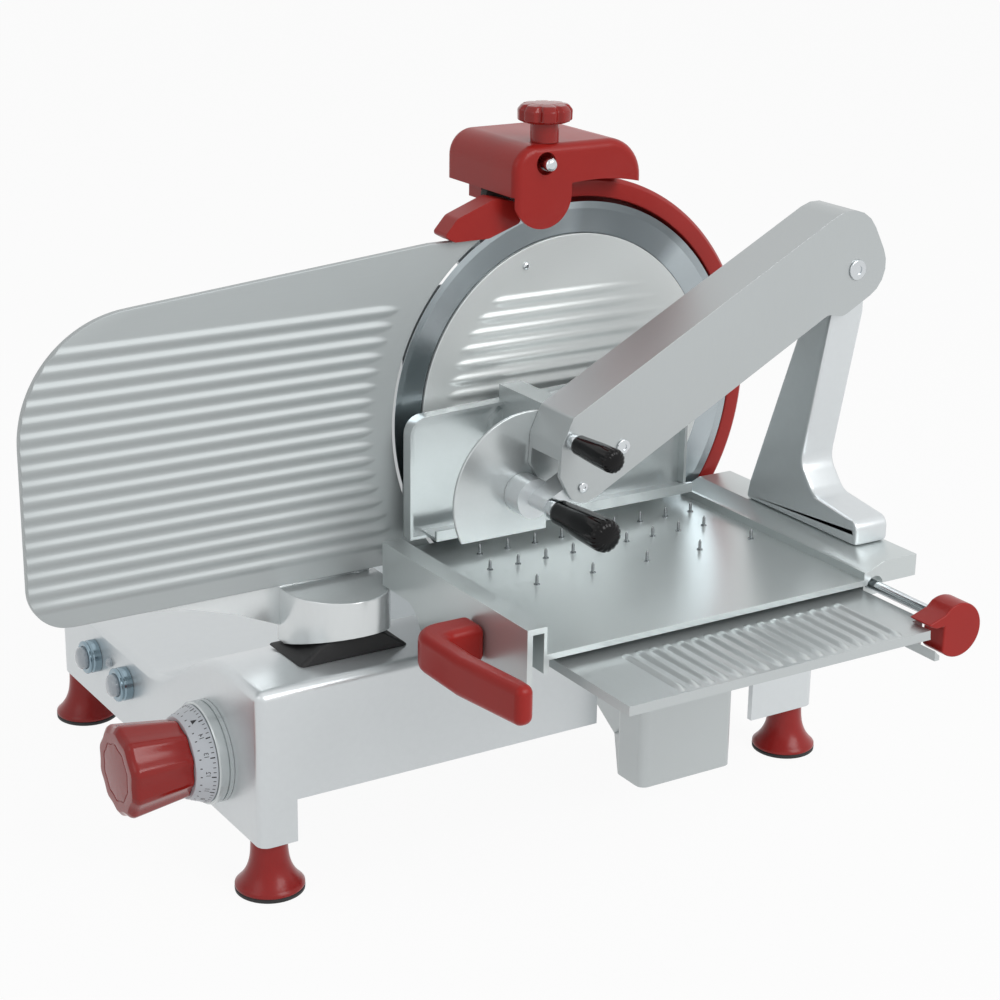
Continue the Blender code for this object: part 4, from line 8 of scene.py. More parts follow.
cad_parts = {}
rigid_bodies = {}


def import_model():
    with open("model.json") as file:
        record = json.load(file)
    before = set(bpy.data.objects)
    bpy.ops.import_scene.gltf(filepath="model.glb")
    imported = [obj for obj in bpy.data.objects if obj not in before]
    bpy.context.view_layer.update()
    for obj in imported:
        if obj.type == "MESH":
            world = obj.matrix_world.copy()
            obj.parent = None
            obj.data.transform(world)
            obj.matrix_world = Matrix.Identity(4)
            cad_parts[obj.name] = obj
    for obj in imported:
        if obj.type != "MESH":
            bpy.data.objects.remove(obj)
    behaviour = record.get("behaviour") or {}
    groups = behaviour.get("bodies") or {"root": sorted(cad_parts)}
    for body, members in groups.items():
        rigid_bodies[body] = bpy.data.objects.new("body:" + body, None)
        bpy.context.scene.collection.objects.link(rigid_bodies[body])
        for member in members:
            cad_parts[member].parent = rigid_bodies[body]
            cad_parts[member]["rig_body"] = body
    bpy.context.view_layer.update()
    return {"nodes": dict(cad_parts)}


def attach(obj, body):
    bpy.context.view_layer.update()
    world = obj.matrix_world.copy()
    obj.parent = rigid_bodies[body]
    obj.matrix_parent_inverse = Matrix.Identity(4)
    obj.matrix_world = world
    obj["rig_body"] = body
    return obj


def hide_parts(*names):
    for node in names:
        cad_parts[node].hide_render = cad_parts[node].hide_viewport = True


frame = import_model()

# Studio
# A white table under three big soft lamps, seen from the machine's front left corner
# a little above the blade, through a long lens as in a catalogue picture.


class Wire:
    """A value in a shader: sums with it become Math nodes, and node() adds any other node."""

    def __init__(self, tree, socket):
        self.tree, self.socket = tree, socket

    def node(self, kind, settings=None, inputs=None, output=0):
        made = self.tree.nodes.new(kind)
        for key, value in (settings or {}).items():
            if key == "stops":
                ramp = made.color_ramp.elements
                while len(ramp) < len(value):
                    ramp.new(1.0)
                for stop, (place, grey) in zip(ramp, value):
                    stop.position = place
                    stop.color = (grey, grey, grey, 1.0)
            else:
                setattr(made, key, value)
        for key, value in (inputs or {}).items():
            if isinstance(value, Wire):
                self.tree.links.new(value.socket, made.inputs[key])
            else:
                made.inputs[key].default_value = value
        return Wire(self.tree, made.outputs[output]) if made.outputs else None

    def maths(self, operation, first, second=0.0):
        return self.node("ShaderNodeMath", {"operation": operation}, {0: first, 1: second})

    def __add__(self, other):
        return self.maths("ADD", self, other)

    def __sub__(self, other):
        return self.maths("SUBTRACT", self, other)

    def __rsub__(self, other):
        return self.maths("SUBTRACT", other, self)

    def __mul__(self, other):
        return self.maths("MULTIPLY", self, other)

    def __truediv__(self, other):
        return self.maths("DIVIDE", self, other)

    __radd__ = __add__
    __rmul__ = __mul__

    def blend(self, low, high):
        """A colour between two, by this value."""
        mix = {"data_type": "RGBA"}
        return self.node("ShaderNodeMix", mix, {0: self, 6: (*low, 1), 7: (*high, 1)}, 2)

    def parts(self):
        """The three numbers of a place."""
        made = self.node("ShaderNodeSeparateXYZ", None, {0: self})
        return [Wire(self.tree, output) for output in made.socket.node.outputs]


def start_tree(tree):
    tree.nodes.clear()
    return Wire(tree, None)


def new_material(name):
    """An empty material and the wire that its nodes are added with."""
    made = bpy.data.materials.new(name)
    made.use_nodes = True
    return made, start_tree(made.node_tree)


def seen_directly(wire):
    """1 for what the camera sees straight, mirrored or through glass, 0 for gathered light."""
    ray = [wire.node("ShaderNodeLightPath", output=name) for name in (
        "Is Camera Ray", "Is Glossy Ray", "Is Transmission Ray")]
    return wire.maths("MAXIMUM", ray[0], wire.maths("MAXIMUM", ray[1], ray[2]))


def placed(name, data):
    """A new object in the scene."""
    made = bpy.data.objects.new(name, data)
    bpy.context.scene.collection.objects.link(made)
    return made


# The camera's place and its three turns were worked out from the photo
eye = (-0.91665, -1.56215, 0.9096)
turn, rise, roll = math.radians(-32.13), math.radians(18.95), math.radians(0.83)
backward = Vector((
    math.sin(turn) * math.cos(rise), -math.cos(turn) * math.cos(rise), math.sin(rise)))
level = Vector((math.cos(turn), math.sin(turn), 0))
upward = backward.cross(level)
sideways = level * math.cos(roll) + upward * math.sin(roll)
standing = upward * math.cos(roll) - level * math.sin(roll)
camera = placed("camera", bpy.data.cameras.new("camera"))
camera.matrix_world = Matrix.Translation(eye) @ Matrix(
    (sideways, standing, backward)).transposed().to_4x4()
camera.data.lens = 79.8
camera.data.sensor_width = 36
camera.data.clip_end = 60
bpy.context.scene.camera = camera
bpy.context.scene.view_settings.view_transform = "Standard"

for name, place, aim, size, power in (
    ("key_lamp", (1.1, -2.9, 2.3), (0.0, 0.0, 0.3), 2.0, 58),
    ("top_lamp", (0.9, 0.2, 3.0), (0.0, 0.0, 0.2), 2.4, 4),
    ("left_lamp", (-2.6, -0.6, 2.0), (0.0, 0.0, 0.3), 1.5, 6),
):
    lamp = placed(name, bpy.data.lights.new(name, "AREA"))
    lamp.data.shape = "SQUARE"
    lamp.data.size = size
    lamp.data.energy = power
    lamp.location = place
    lamp.rotation_euler = (Vector(aim) - Vector(place)).to_track_quat("-Z", "Y").to_euler()

world = bpy.data.worlds.new("white_room")
world.use_nodes = True
bpy.context.scene.world = world
room = start_tree(world.node_tree)
room_light = 0.38
walls = room.node("ShaderNodeBackground", None, {
    "Color": (1.0, 1.0, 1.0, 1.0),
    "Strength": seen_directly(room) * (1 - room_light) + room_light})
room.node("ShaderNodeOutputWorld", None, {"Surface": walls})

table_top = bpy.data.meshes.new("table_top")
table_top.from_pydata([(-9, -9, 0), (9, -9, 0), (9, 9, 0), (-9, 9, 0)], [], [(0, 1, 2, 3)])
floor = placed("table_top", table_top)
paper, sheet = new_material("white_paper")
seen = seen_directly(sheet)
matt = sheet.node("ShaderNodeBsdfDiffuse", None, {"Color": (0.86, 0.86, 0.86, 1.0)})
bright = sheet.node("ShaderNodeEmission", None, {"Color": (1.0, 1.0, 1.0, 1.0), "Strength": 1.0})
sheet.node("ShaderNodeOutputMaterial", None, {
    "Surface": sheet.node("ShaderNodeMixShader", None, {0: seen * 0.94, 1: matt, 2: bright})})
table_top.materials.append(paper)

# Base
# One pressure die casting in aluminium: a long box with legs at its ends, open below, ground
# smooth outside and closed from under by a thin sheet. All its outer edges are rounded.
hub = Vector((0.12825, -0.00925, 0.362))  # the blade's middle; all sizes are taken from it
welding = 1e-5  # corners nearer than this are one corner


def metal(name, colour, rough, grain=(60, 60, 60), strength=0.06, sheen=0.10, metallic=0.60):
    """Ground or drawn metal: fine lines along the direction in which grain is small."""
    made, wire = new_material(name)
    place = wire.node("ShaderNodeTexCoord", output="Object")
    lined = wire.node("ShaderNodeMapping", None, {"Vector": place, "Scale": grain})
    lines = wire.node("ShaderNodeTexNoise", None, {"Vector": lined, "Scale": 12.0, "Detail": 4.0})
    cloud = wire.node("ShaderNodeTexNoise", None, {"Vector": place, "Scale": 7.0, "Detail": 2.0})
    tone = (lines * 0.5 + cloud * 0.5).blend(
        tuple(part * (1 - sheen) for part in colour),
        tuple(min(1, part * (1 + sheen)) for part in colour))
    bump = wire.node("ShaderNodeBump", None, {
        "Strength": strength, "Distance": 0.0004, "Height": lines})
    shader = wire.node("ShaderNodeBsdfPrincipled", None, {
        "Base Color": tone, "Metallic": metallic,
        "Roughness": lines * 0.04 + cloud * 0.06 + (rough - 0.05), "Normal": bump})
    wire.node("ShaderNodeOutputMaterial", None, {"Surface": shader})
    return made


def finished(piece, finish, body, nodes):
    """Gives a piece its finish, its body and the CAD nodes that it stands for."""
    piece.data.materials.clear()
    piece.data.materials.append(finish)
    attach(piece, body)
    if nodes:
        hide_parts(*nodes)


def baked(piece):
    """The mesh of an object with its modifiers worked out."""
    graph = bpy.context.evaluated_depsgraph_get()
    return bpy.data.meshes.new_from_object(piece.evaluated_get(graph))


def solid(name, shape, ease=0.0, steps=3, crease=35):
    """An object from a bmesh: faces turned out, and sharp edges eased or kept sharp."""
    bmesh.ops.recalc_face_normals(shape, faces=shape.faces)
    mesh = bpy.data.meshes.new(name)
    shape.to_mesh(mesh)
    shape.free()
    piece = placed(name, mesh)
    mesh.polygons.foreach_set("use_smooth", [True] * len(mesh.polygons))
    if not ease:
        mesh.set_sharp_from_angle(angle=math.radians(crease))
        return piece
    bevel = piece.modifiers.new("eased_edges", "BEVEL")
    bevel.width = ease
    bevel.segments = steps
    bevel.limit_method = "ANGLE"
    bevel.angle_limit = math.radians(40)
    even = piece.modifiers.new("even_flats", "WEIGHTED_NORMAL")
    even.keep_sharp = True
    piece.data = baked(piece)
    piece.modifiers.clear()
    return piece


def block(near, far):
    """A plain block between two corners, to cut with."""
    shape = bmesh.new()
    bmesh.ops.create_cube(shape, size=1.0)
    for vert in shape.verts:
        vert.co = hub + Vector(
            [high if part > 0 else low for part, low, high in zip(vert.co, near, far)])
    return solid("block", shape)


def carved(piece, *changes):
    """Cuts other shapes away or joins them on, uses them up, and gives the result as a bmesh."""
    for number, (kind, other) in enumerate(changes):
        change = piece.modifiers.new(kind + str(number), "BOOLEAN")
        change.operation, change.object, change.solver = kind, other, "EXACT"
    shape = bmesh.new()
    shape.from_mesh(baked(piece))
    for used in [piece] + [other for kind, other in changes]:
        bpy.data.objects.remove(used)
    bmesh.ops.remove_doubles(shape, verts=shape.verts, dist=welding)
    return shape


def dressed(node, finish, ease, trim=None, steps=3, flat=1.0, move=None, gaps=()):
    """A copy of a CAD solid: corners moved, gaps cut, small forms off, edges eased."""
    shape = bmesh.new()
    shape.from_mesh(frame["nodes"][node].data)
    bmesh.ops.remove_doubles(shape, verts=shape.verts, dist=welding)
    if move:
        for vert in shape.verts:
            vert.co = hub + Vector(move(*(vert.co - hub)))
    if gaps:
        shape = carved(solid(node, shape), *[("DIFFERENCE", block(*gap)) for gap in gaps])
    if trim:
        gone = [vert for vert in shape.verts if trim(vert.co - hub)]
        bmesh.ops.delete(shape, geom=gone, context="VERTS")
        rims = [edge for edge in shape.edges if edge.is_boundary]
        bmesh.ops.holes_fill(shape, edges=rims, sides=0)
    bmesh.ops.dissolve_limit(
        shape, angle_limit=math.radians(flat), verts=shape.verts, edges=shape.edges)
    piece = solid(node + "_dressed", shape, ease, steps)
    finished(piece, finish, frame["nodes"][node]["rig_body"], [node])


cast = metal("smooth_casting", (0.70, 0.735, 0.75), 0.32, (14, 14, 14), 0.03, 0.05)
rolled = metal("rolled_sheet", (0.60, 0.62, 0.63), 0.32, (4, 90, 90), 0.05, 0.06)
skirt_notch = ((-0.016, -0.090, -0.290), (0.110, -0.070, -0.2507))
dressed("base_casting", cast, 0.0015, gaps=[skirt_notch])
dressed("bottom_cover", rolled, 0.0006)

# Feet
# Four red moulded feet screwed up into the base's bosses, flared like a bell, each with a
# thin black rubber sole.


def rounded(corners, steps=5, closed=True):
    """An outline from corners, each a pair or a pair and its radius."""
    points = []
    last = len(corners) - 1
    for index, corner in enumerate(corners):
        here = Vector(corner[:2])
        radius = corner[2] if len(corner) > 2 else 0
        if not radius or (not closed and index in (0, last)):
            points.append(tuple(here))
            continue
        back = (Vector(corners[index - 1][:2]) - here).normalized()
        ahead = (Vector(corners[(index + 1) % len(corners)][:2]) - here).normalized()
        half = back.angle(ahead) / 2
        centre = here + (back + ahead).normalized() * radius / math.sin(half)
        start = here + back * radius / math.tan(half) - centre
        end = here + ahead * radius / math.tan(half) - centre
        sweep = start.angle_signed(end)
        for step in range(steps + 1):
            angle = -sweep * step / steps
            points.append(tuple(centre + Matrix.Rotation(angle, 2) @ start))
    return points


def lathe(shape, profile, along, at, sides=96, loop=False, wave=None, span=(0, 360)):
    """Turns (radius, place) pairs round an axis through at; wave scales the radius."""
    whole = span[1] - span[0] >= 360
    count = sides if whole else sides + 1
    rings = []
    for radius, place in profile:
        ring = []
        for step in range(count):
            angle = math.radians(span[0] + (span[1] - span[0]) * step / sides)
            out = radius * (wave(angle, place) if wave and radius else 1)
            first, second = at[0] + out * math.cos(angle), at[1] + out * math.sin(angle)
            spot = {"x": (place, first, second), "y": (first, place, second),
                    "z": (first, second, place)}[along]
            ring.append(shape.verts.new(hub + Vector(spot)))
        rings.append(ring)
    pairs = list(zip(rings, rings[1:])) + ([(rings[-1], rings[0])] if loop else [])
    for one, two in pairs:
        for step in range(sides):
            after = (step + 1) % count
            shape.faces.new((one[step], one[after], two[after], two[step]))
    if not whole:
        shape.faces.new([ring[0] for ring in rings])
        shape.faces.new([ring[-1] for ring in rings])
    bmesh.ops.remove_doubles(shape, verts=shape.verts, dist=1e-7)


def turned(name, profile, along, at, finish, body, slot, nodes=(), crease=35, **more):
    """A lathe-turned piece."""
    shape = bmesh.new()
    lathe(shape, profile, along, at, **more)
    finished(solid(name, shape, crease=crease), finish, body, nodes)


def moulding(name, colour, rough, peel=0.04, coat=0.0, speck=0.12, scale=900.0, shine=0.5):
    """Moulded or painted surface: a little uneven in gloss, with a fine skin."""
    made, wire = new_material(name)
    place = wire.node("ShaderNodeTexCoord", output="Object")
    skin = wire.node("ShaderNodeTexNoise", None, {"Vector": place, "Scale": scale, "Detail": 2.0})
    cloud = wire.node("ShaderNodeTexNoise", None, {"Vector": place, "Scale": 30.0, "Detail": 3.0})
    tone = (skin * 0.4 + cloud * 0.6).blend(
        tuple(part * (1 - speck) for part in colour), tuple(part * (1 + speck) for part in colour))
    bump = wire.node("ShaderNodeBump", None, {
        "Strength": peel, "Distance": 0.0003, "Height": skin})
    shader = wire.node("ShaderNodeBsdfPrincipled", None, {
        "Base Color": tone, "Roughness": cloud * 0.10 + (rough - 0.05), "Coat Weight": coat,
        "Coat Roughness": 0.12, "Specular IOR Level": shine, "Normal": bump})
    wire.node("ShaderNodeOutputMaterial", None, {"Surface": shader})
    return made


red = moulding("red_enamel", (0.37, 0.018, 0.014), 0.34, 0.03, 0.06, shine=0.24)
foot_red = moulding("red_foot", (0.34, 0.016, 0.014), 0.30, 0.03, 0.10, shine=0.3)
rubber = moulding("black_rubber", (0.016, 0.016, 0.017), 0.62, 0.15, 0.0, 0.3, 500.0)
foot_top, ground, neck_radius, flare, bell_height = -0.3143, -0.362, 0.0155, 0.0138, 0.0415
for side, x in (("left", -0.3285), ("right", 0.2165)):
    for end, y in (("front", -0.0600), ("rear", 0.3420)):
        bell = [(0, foot_top), (0.0150, foot_top), (neck_radius, foot_top - 0.0006)]
        for step in range(1, 17):
            share = step / 16
            bell.append((
                neck_radius + flare * (0.06 * share + 0.94 * share ** 3.3),
                foot_top - 0.0006 - (bell_height - 0.0006) * share))
        bell += [(0.0294, ground + 0.0046), (0.0290, ground + 0.0040), (0, ground + 0.0040)]
        turned("foot_" + end + "_" + side + "_bell", bell, "z", (x, y), foot_red, "base",
               "foot_plastic", ["foot_" + end + "_" + side], crease=50)
        sole = [(0, ground + 0.0038), (0.0287, ground + 0.0038), (0.0295, ground + 0.0030),
                (0.0293, ground + 0.0006), (0.0284, ground), (0, ground)]
        turned("foot_" + end + "_" + side + "_sole", sole, "z", (x, y), rubber, "base",
               "black_rubber")

# Slice thickness dial
# A metal ring screwed to the end wall, a white printed cone that turns inside it, and a
# moulded red knob with ten hollow flats. Knob and cone are pinned to one shaft.
dial_at = (0.009, -0.260)
end_wall, bezel_face = -0.3463, -0.3583
plate_grey = metal("anodised", (0.60, 0.64, 0.645), 0.24, (30, 30, 30), 0.02, 0.04)
chrome = metal("bright_chrome", (0.62, 0.65, 0.67), 0.15, (30, 30, 30), 0.01, 0.05, 1.0)
blued = metal("blued_steel", (0.24, 0.32, 0.37), 0.18, (30, 30, 30), 0.01, 0.05, 1.0)
ring = [(0.0070, end_wall), (0.0440, end_wall), (0.0440, -0.3500), (0.0428, -0.3503),
        (0.0428, -0.3512), (0.0440, -0.3515), (0.0440, bezel_face), (0.0430, -0.3593),
        (0.0385, -0.3593), (0.0385, -0.3585), (0.0070, -0.3585)]
turned("dial_ring_turned", ring, "x", dial_at, plate_grey, "base", "satin_aluminium", ["dial_ring"],
       loop=True, sides=128)
white = moulding("white_print", (0.66, 0.70, 0.745), 0.40, 0.01, 0.1, 0.03)
ink = moulding("black_ink", (0.012, 0.012, 0.016), 0.5)
rim_radius, rim_place, cone_length, cone_fall = 0.0420, -0.3601, 0.0159, 0.0065
cone = [(0.0063, -0.3596), (0.0415, -0.3596), (rim_radius, rim_place), (0.0355, -0.3760),
        (0.0348, -0.3766), (0.0063, -0.3766)]
turned("dial_scale_cone", cone, "x", dial_at, white, "dial", "white_scale", ["dial_scale"],
       loop=True, sides=128)


def rows(kind):
    """A tree that sets Count copies of a template Step apart, each turned by Turn more."""
    tree = bpy.data.node_groups.new(kind, "GeometryNodeTree")
    face = tree.interface
    face.new_socket("Geometry", in_out="INPUT", socket_type="NodeSocketGeometry")
    ins = {
        label: face.new_socket(label, in_out="INPUT", socket_type="NodeSocket" + sort).identifier
        for label, sort in (
            ("Count", "Int"), ("First", "Vector"), ("Step", "Vector"), ("Turn", "Vector"),
            ("Template", "Object"), ("Finish", "Material"))
    }
    face.new_socket("Geometry", in_out="OUTPUT", socket_type="NodeSocketGeometry")
    add = tree.nodes.new
    given, result = add("NodeGroupInput"), add("NodeGroupOutput")
    line, place = add("GeometryNodeMeshLine"), add("GeometryNodeInstanceOnPoints")
    source, order = add("GeometryNodeObjectInfo"), add("GeometryNodeInputIndex")
    lean, real = add("ShaderNodeVectorMath"), add("GeometryNodeRealizeInstances")
    coat = add("GeometryNodeSetMaterial")
    lean.operation = "SCALE"
    for out, into in (
        (given.outputs["Count"], line.inputs["Count"]),
        (given.outputs["First"], line.inputs["Start Location"]),
        (given.outputs["Step"], line.inputs["Offset"]),
        (given.outputs["Template"], source.inputs["Object"]),
        (given.outputs["Turn"], lean.inputs[0]),
        (order.outputs[0], lean.inputs["Scale"]),
        (line.outputs[0], place.inputs["Points"]),
        (source.outputs["Geometry"], place.inputs["Instance"]),
        (lean.outputs[0], place.inputs["Rotation"]),
        (place.outputs[0], real.inputs[0]),
        (real.outputs[0], coat.inputs["Geometry"]),
        (given.outputs["Finish"], coat.inputs["Material"]),
        (coat.outputs[0], result.inputs[0]),
    ):
        tree.links.new(out, into)
    return tree, ins


row_tree, row_inputs = rows("row_of_copies")


def row(name, template, count, first, step, turn, finish, body):
    """Copies of a template in a row or a ring, as one mesh; the template is removed later."""
    piece = placed(name, bpy.data.meshes.new(name))
    copies = piece.modifiers.new("copies", "NODES")
    copies.node_group = row_tree
    for label, value in (("Count", count), ("First", first), ("Step", step), ("Turn", turn),
                         ("Template", template), ("Finish", finish)):
        copies[row_inputs[label]] = value
    piece.data = baked(piece)
    piece.modifiers.clear()
    finished(piece, finish, body, [])


def pattern(name, points, faces):
    """A small mesh used as a template."""
    mesh = bpy.data.meshes.new(name)
    mesh.from_pydata(points, [], faces)
    return placed(name, mesh)


def cone_spot(back, across, lift=0.00012):
    """A place at the top of the dial's cone: back down its slope, across along its rim."""
    share = back / cone_length
    radius = rim_radius - cone_fall * share + lift
    angle = across / radius
    return Vector((
        rim_place - cone_length * share, radius * math.sin(angle), radius * math.cos(angle)))


dial_middle = hub + Vector((0, *dial_at))
figures = 15
for label, count, from_rim, long, wide in (
    ("minor", 4 * figures, 0.0014, 0.0022, 0.00030), ("major", figures, 0.0014, 0.0036, 0.00050),
    ("inner", 2 * figures, 0.0118, 0.0016, 0.00040),
):
    corners = [cone_spot(back, across) for back, across in (
        (from_rim, -wide), (from_rim, wide), (from_rim + long, wide), (from_rim + long, -wide))]
    sunk = [corner - Vector((0, 0, 0.0003)) for corner in corners]
    tick = pattern("tick", corners + sunk, [
        (0, 1, 2, 3), (7, 6, 5, 4), (0, 4, 5, 1), (1, 5, 6, 2), (2, 6, 7, 3), (3, 7, 4, 0)])
    row("dial_marks_" + label, tick, count, dial_middle, (0, 0, 0), (math.tau / count, 0, 0), ink,
        "dial")
    bpy.data.objects.remove(tick)
for number in range(figures):
    if number:
        text = bpy.data.curves.new("dial_figure", "FONT")
        text.body = str(number)
        text.size = 0.0052
        text.align_x, text.align_y = "CENTER", "CENTER"
        figure = placed("dial_figure", text)
        flat = baked(figure)
        bpy.data.objects.remove(figure)
    else:
        flat = bpy.data.meshes.new("dial_pointer")
        flat.from_pydata(
            [(-0.0024, -0.0022, 0), (0.0024, -0.0022, 0), (0, 0.0026, 0)], [], [(0, 1, 2)])
    angle = math.tau * number / figures - math.radians(20)
    for vert in flat.vertices:
        spot = cone_spot(0.0078 - vert.co.y, vert.co.x)
        vert.co = dial_middle + Matrix.Rotation(-angle, 3, "X") @ spot
    shape = bmesh.new()
    shape.from_mesh(flat)
    figure = solid("dial_figure_" + str(number), shape)
    finished(figure, ink, "dial", [])


def flats(count, blunt):
    """The radius of a many-sided bar by angle, with hollow sides and its corners taken off."""
    def wave(angle, place):
        off = (angle + math.pi / count) % (math.tau / count) - math.pi / count
        side = math.cos(math.pi / count) / math.cos(off)
        return min(side * (1 - 0.012 * math.cos(count * angle)), blunt)
    return wave


knob = rounded([
    (0, -0.3769), (0.0335, -0.3769, 0.0015), (0.0345, -0.3830, 0.004), (0.0408, -0.4290, 0.0055),
    (0.0350, -0.4329, 0.002), (0.0262, -0.4329, 0.0003), (0.0258, -0.4322, 0.0003),
    (0.0250, -0.4322, 0.0003), (0.0246, -0.4329, 0.0003), (0, -0.4329)], 5, False)
knob_red = moulding("red_knob", (0.31, 0.014, 0.011), 0.18, 0.015, 0.16, shine=0.28)
turned("dial_knob_moulded", knob, "x", dial_at, knob_red, "dial", "red_plastic", ["dial_knob"],
       sides=240, crease=40, wave=flats(10, 0.992))
dressed("dial_shaft", chrome, 0.0004)

# Buttons and lamp
# Two blued steel bezels pressed into the end wall, each with a clear domed cap that slides in
# it, and a small lamp between them.
clear = moulding("clear_cap", (0.50, 0.56, 0.61), 0.14, 0.01, 0.5, 0.05)
button_level = -0.268
for name, y in (("start", 0.192), ("stop", 0.266)):
    bezel = rounded([
        (0.0108, end_wall), (0.0155, end_wall), (0.0155, -0.3530, 0.0006),
        (0.0148, -0.3545, 0.0006), (0.0155, -0.3560, 0.0006), (0.0155, bezel_face, 0.0012),
        (0.0108, bezel_face, 0.0008)], 3)
    turned(name + "_bezel_turned", bezel, "x", (y, button_level), blued, "base", "satin_aluminium",
           [name + "_bezel"], loop=True, sides=64)
    cap = rounded([(0, -0.3400), (0.0105, -0.3400), (0.0105, -0.3610, 0.0008),
                   (0.0090, -0.3638, 0.003), (0.0045, -0.3653, 0.01), (0, -0.3653)], 4, False)
    turned(name + "_button_cap", cap, "x", (y, button_level), clear, name + "_button",
           "button_plastic", [name + "_button"], sides=64)
lens = rounded([(0, -0.3400), (0.0040, -0.3400), (0.0040, -0.3485, 0.001),
                (0.0022, -0.3508, 0.002), (0, -0.3510)], 4, False)
turned("lamp_lens", lens, "x", (0.230, -0.262), clear, "base", "button_plastic", ["lamp"], sides=48)
dressed("cord_gland", rubber, 0.0008)

# Gauge plate
# A cast and ground aluminium plate, the machine's largest face. Soft ribs run its length so
# that wet meat doesn't stick; they end in rounded tips along the blade's curve.


def band(shape, one, two):
    """A closed band of faces between two rings of corners."""
    for index in range(len(one)):
        after = (index + 1) % len(one)
        shape.faces.new((one[index], one[after], two[after], two[index]))


def ribbed_plate(shape, levels, spots, rise, face, back, edge, turn=4):
    """A plate facing forward whose front rises in ribs, built in level rows, with a rounded rim."""
    grid = [[(x, z) for x in spots(z)] for z in levels]
    front = [[shape.verts.new(hub + Vector((x, face - rise(x, z), z))) for x, z in line]
             for line in grid]
    rear = [[shape.verts.new(hub + Vector((x, back, z))) for x, z in line] for line in grid]
    tall, wide = len(grid), len(grid[0])
    for sheet in (front, rear):
        for j in range(tall - 1):
            for i in range(wide - 1):
                shape.faces.new((
                    sheet[j][i], sheet[j][i + 1], sheet[j + 1][i + 1], sheet[j + 1][i]))
    way = [(0, i) for i in range(wide)] + [(j, wide - 1) for j in range(1, tall)]
    way += [(tall - 1, i) for i in range(wide - 2, -1, -1)]
    way += [(j, 0) for j in range(tall - 2, 0, -1)]
    loops = [[front[j][i] for j, i in way]]
    for step in range(1, turn * 2):
        behind = step > turn
        angle = math.pi / 2 * (step - turn if behind else step) / turn
        ring = []
        for index, (j, i) in enumerate(way):
            before, after = way[index - 1], way[(index + 1) % len(way)]
            run = Vector(grid[after[0]][after[1]]) - Vector(grid[before[0]][before[1]])
            out = Vector((run.y, -run.x)).normalized()
            x, z = grid[j][i]
            lift = face - rise(x, z)
            if behind:
                reach, depth = math.cos(angle), back - edge + edge * math.sin(angle)
            else:
                reach, depth = math.sin(angle), lift + edge * (1 - math.cos(angle))
            ring.append(shape.verts.new(
                hub + Vector((x + out.x * edge * reach, depth, z + out.y * edge * reach))))
        loops.append(ring)
    loops.append([rear[j][i] for j, i in way])
    for one, two in zip(loops, loops[1:]):
        band(shape, one, two)


edge = 0.0007
left, low, high_left, high_right, level_x = -0.5025, -0.1205, 0.1225, 0.1535, -0.142
big, small, reach = 0.100, 0.035, 0.1785
pitch, first_rib, ribs, rib_height = 0.01257, -0.0995, 17, 0.0019
blade_radius, rib_gap, rib_end = 0.175, 0.0215, 0.020
outline = rounded([(left + edge, low + edge, small), (left + edge, high_left - edge, big),
                   (level_x, high_right - edge), (level_x + 0.02, high_right - edge)], 40, False)
foot_corner = [(-0.2, low + edge), (left + edge, low + edge, small), (left + edge, 0.0)]
outline[0:1] = rounded(foot_corner, 24, False)[1:-1]


def left_end(z):
    """Where the plate's left outline stands at a height."""
    for one, two in zip(outline, outline[1:]):
        if one[1] <= z <= two[1] and two[1] > one[1]:
            return one[0] + (two[0] - one[0]) * (z - one[1]) / (two[1] - one[1])
    return outline[-2][0] if z > 0 else outline[0][0]


def gauge_spots(z):
    """Places across the plate at a height, closer together towards the ribs' tips."""
    start, end = left_end(z), -math.sqrt((reach + edge) ** 2 - z * z)
    close = min(0.062, 0.62 * (end - start))
    near = [end - close * step / 26 for step in range(27)]
    far = [start + (end - close - start) * step / 9 for step in range(9)]
    return far + near[::-1]


def swell(off, half):
    """A rib's section: 1 on its middle line, 0 from half its width outwards."""
    return 0.5 + 0.5 * math.cos(math.pi * min(1.0, abs(off) / half)) if half > 1e-6 else 0.0


def gauge_rise(x, z):
    """How far the plate's face stands out; each rib narrows to a rounded tip along the blade."""
    number = min(ribs - 1, max(0, round((z - first_rib) / pitch)))
    middle = first_rib + number * pitch
    tip = -math.sqrt((blade_radius + rib_gap) ** 2 - middle * middle * 0.85)
    past = max(0.0, (x - (tip - rib_end)) / rib_end)
    if past >= 1:
        return 0.0
    half = pitch / 2 * math.sqrt(1 - past * past)
    return rib_height * swell(z - middle, half) * (1 - past ** 3)


levels = [low + edge + (high_right - edge - low - edge) * step / 264 for step in range(265)]
shape = bmesh.new()
ribbed_plate(shape, levels, gauge_spots, gauge_rise, -0.002, 0.004, edge)
gauge_metal = metal("ground_plate", (0.47, 0.505, 0.51), 0.48, (3, 120, 120), 0.02, 0.05, 0.35)
finished(solid("gauge_plate_ribbed", shape, crease=60), gauge_metal, "gauge",
         ["gauge_plate"])

# Gauge support
# A half-round casting behind the plate's lower edge. Its neck passes through the base to the
# guide rod, and a black rubber bellows closes the slot.
polished = metal("polished_casting", (0.74, 0.77, 0.775), 0.22, (20, 20, 6), 0.02, 0.05)
dressed("gauge_support", polished, 0.0012)
seal_middle, seal_foot, seal_slope = -0.2405, -0.1757, 0.30


def bellows_loop(share, puff):
    """One fold of the bellows, from its broad foot to its top, sloped like the casting above."""
    half, front = 0.0510 - 0.0220 * share + puff, -0.0500 + 0.0020 * share - puff
    behind, corner = 0.0120 - 0.0060 * share, 0.005
    return [(x, y, seal_foot + share * (0.0015 - seal_slope * min(0.0, y))) for x, y in rounded([
        (seal_middle - half, behind, corner), (seal_middle - half, front, corner),
        (seal_middle + half, front, corner), (seal_middle + half, behind, corner)], 8)]


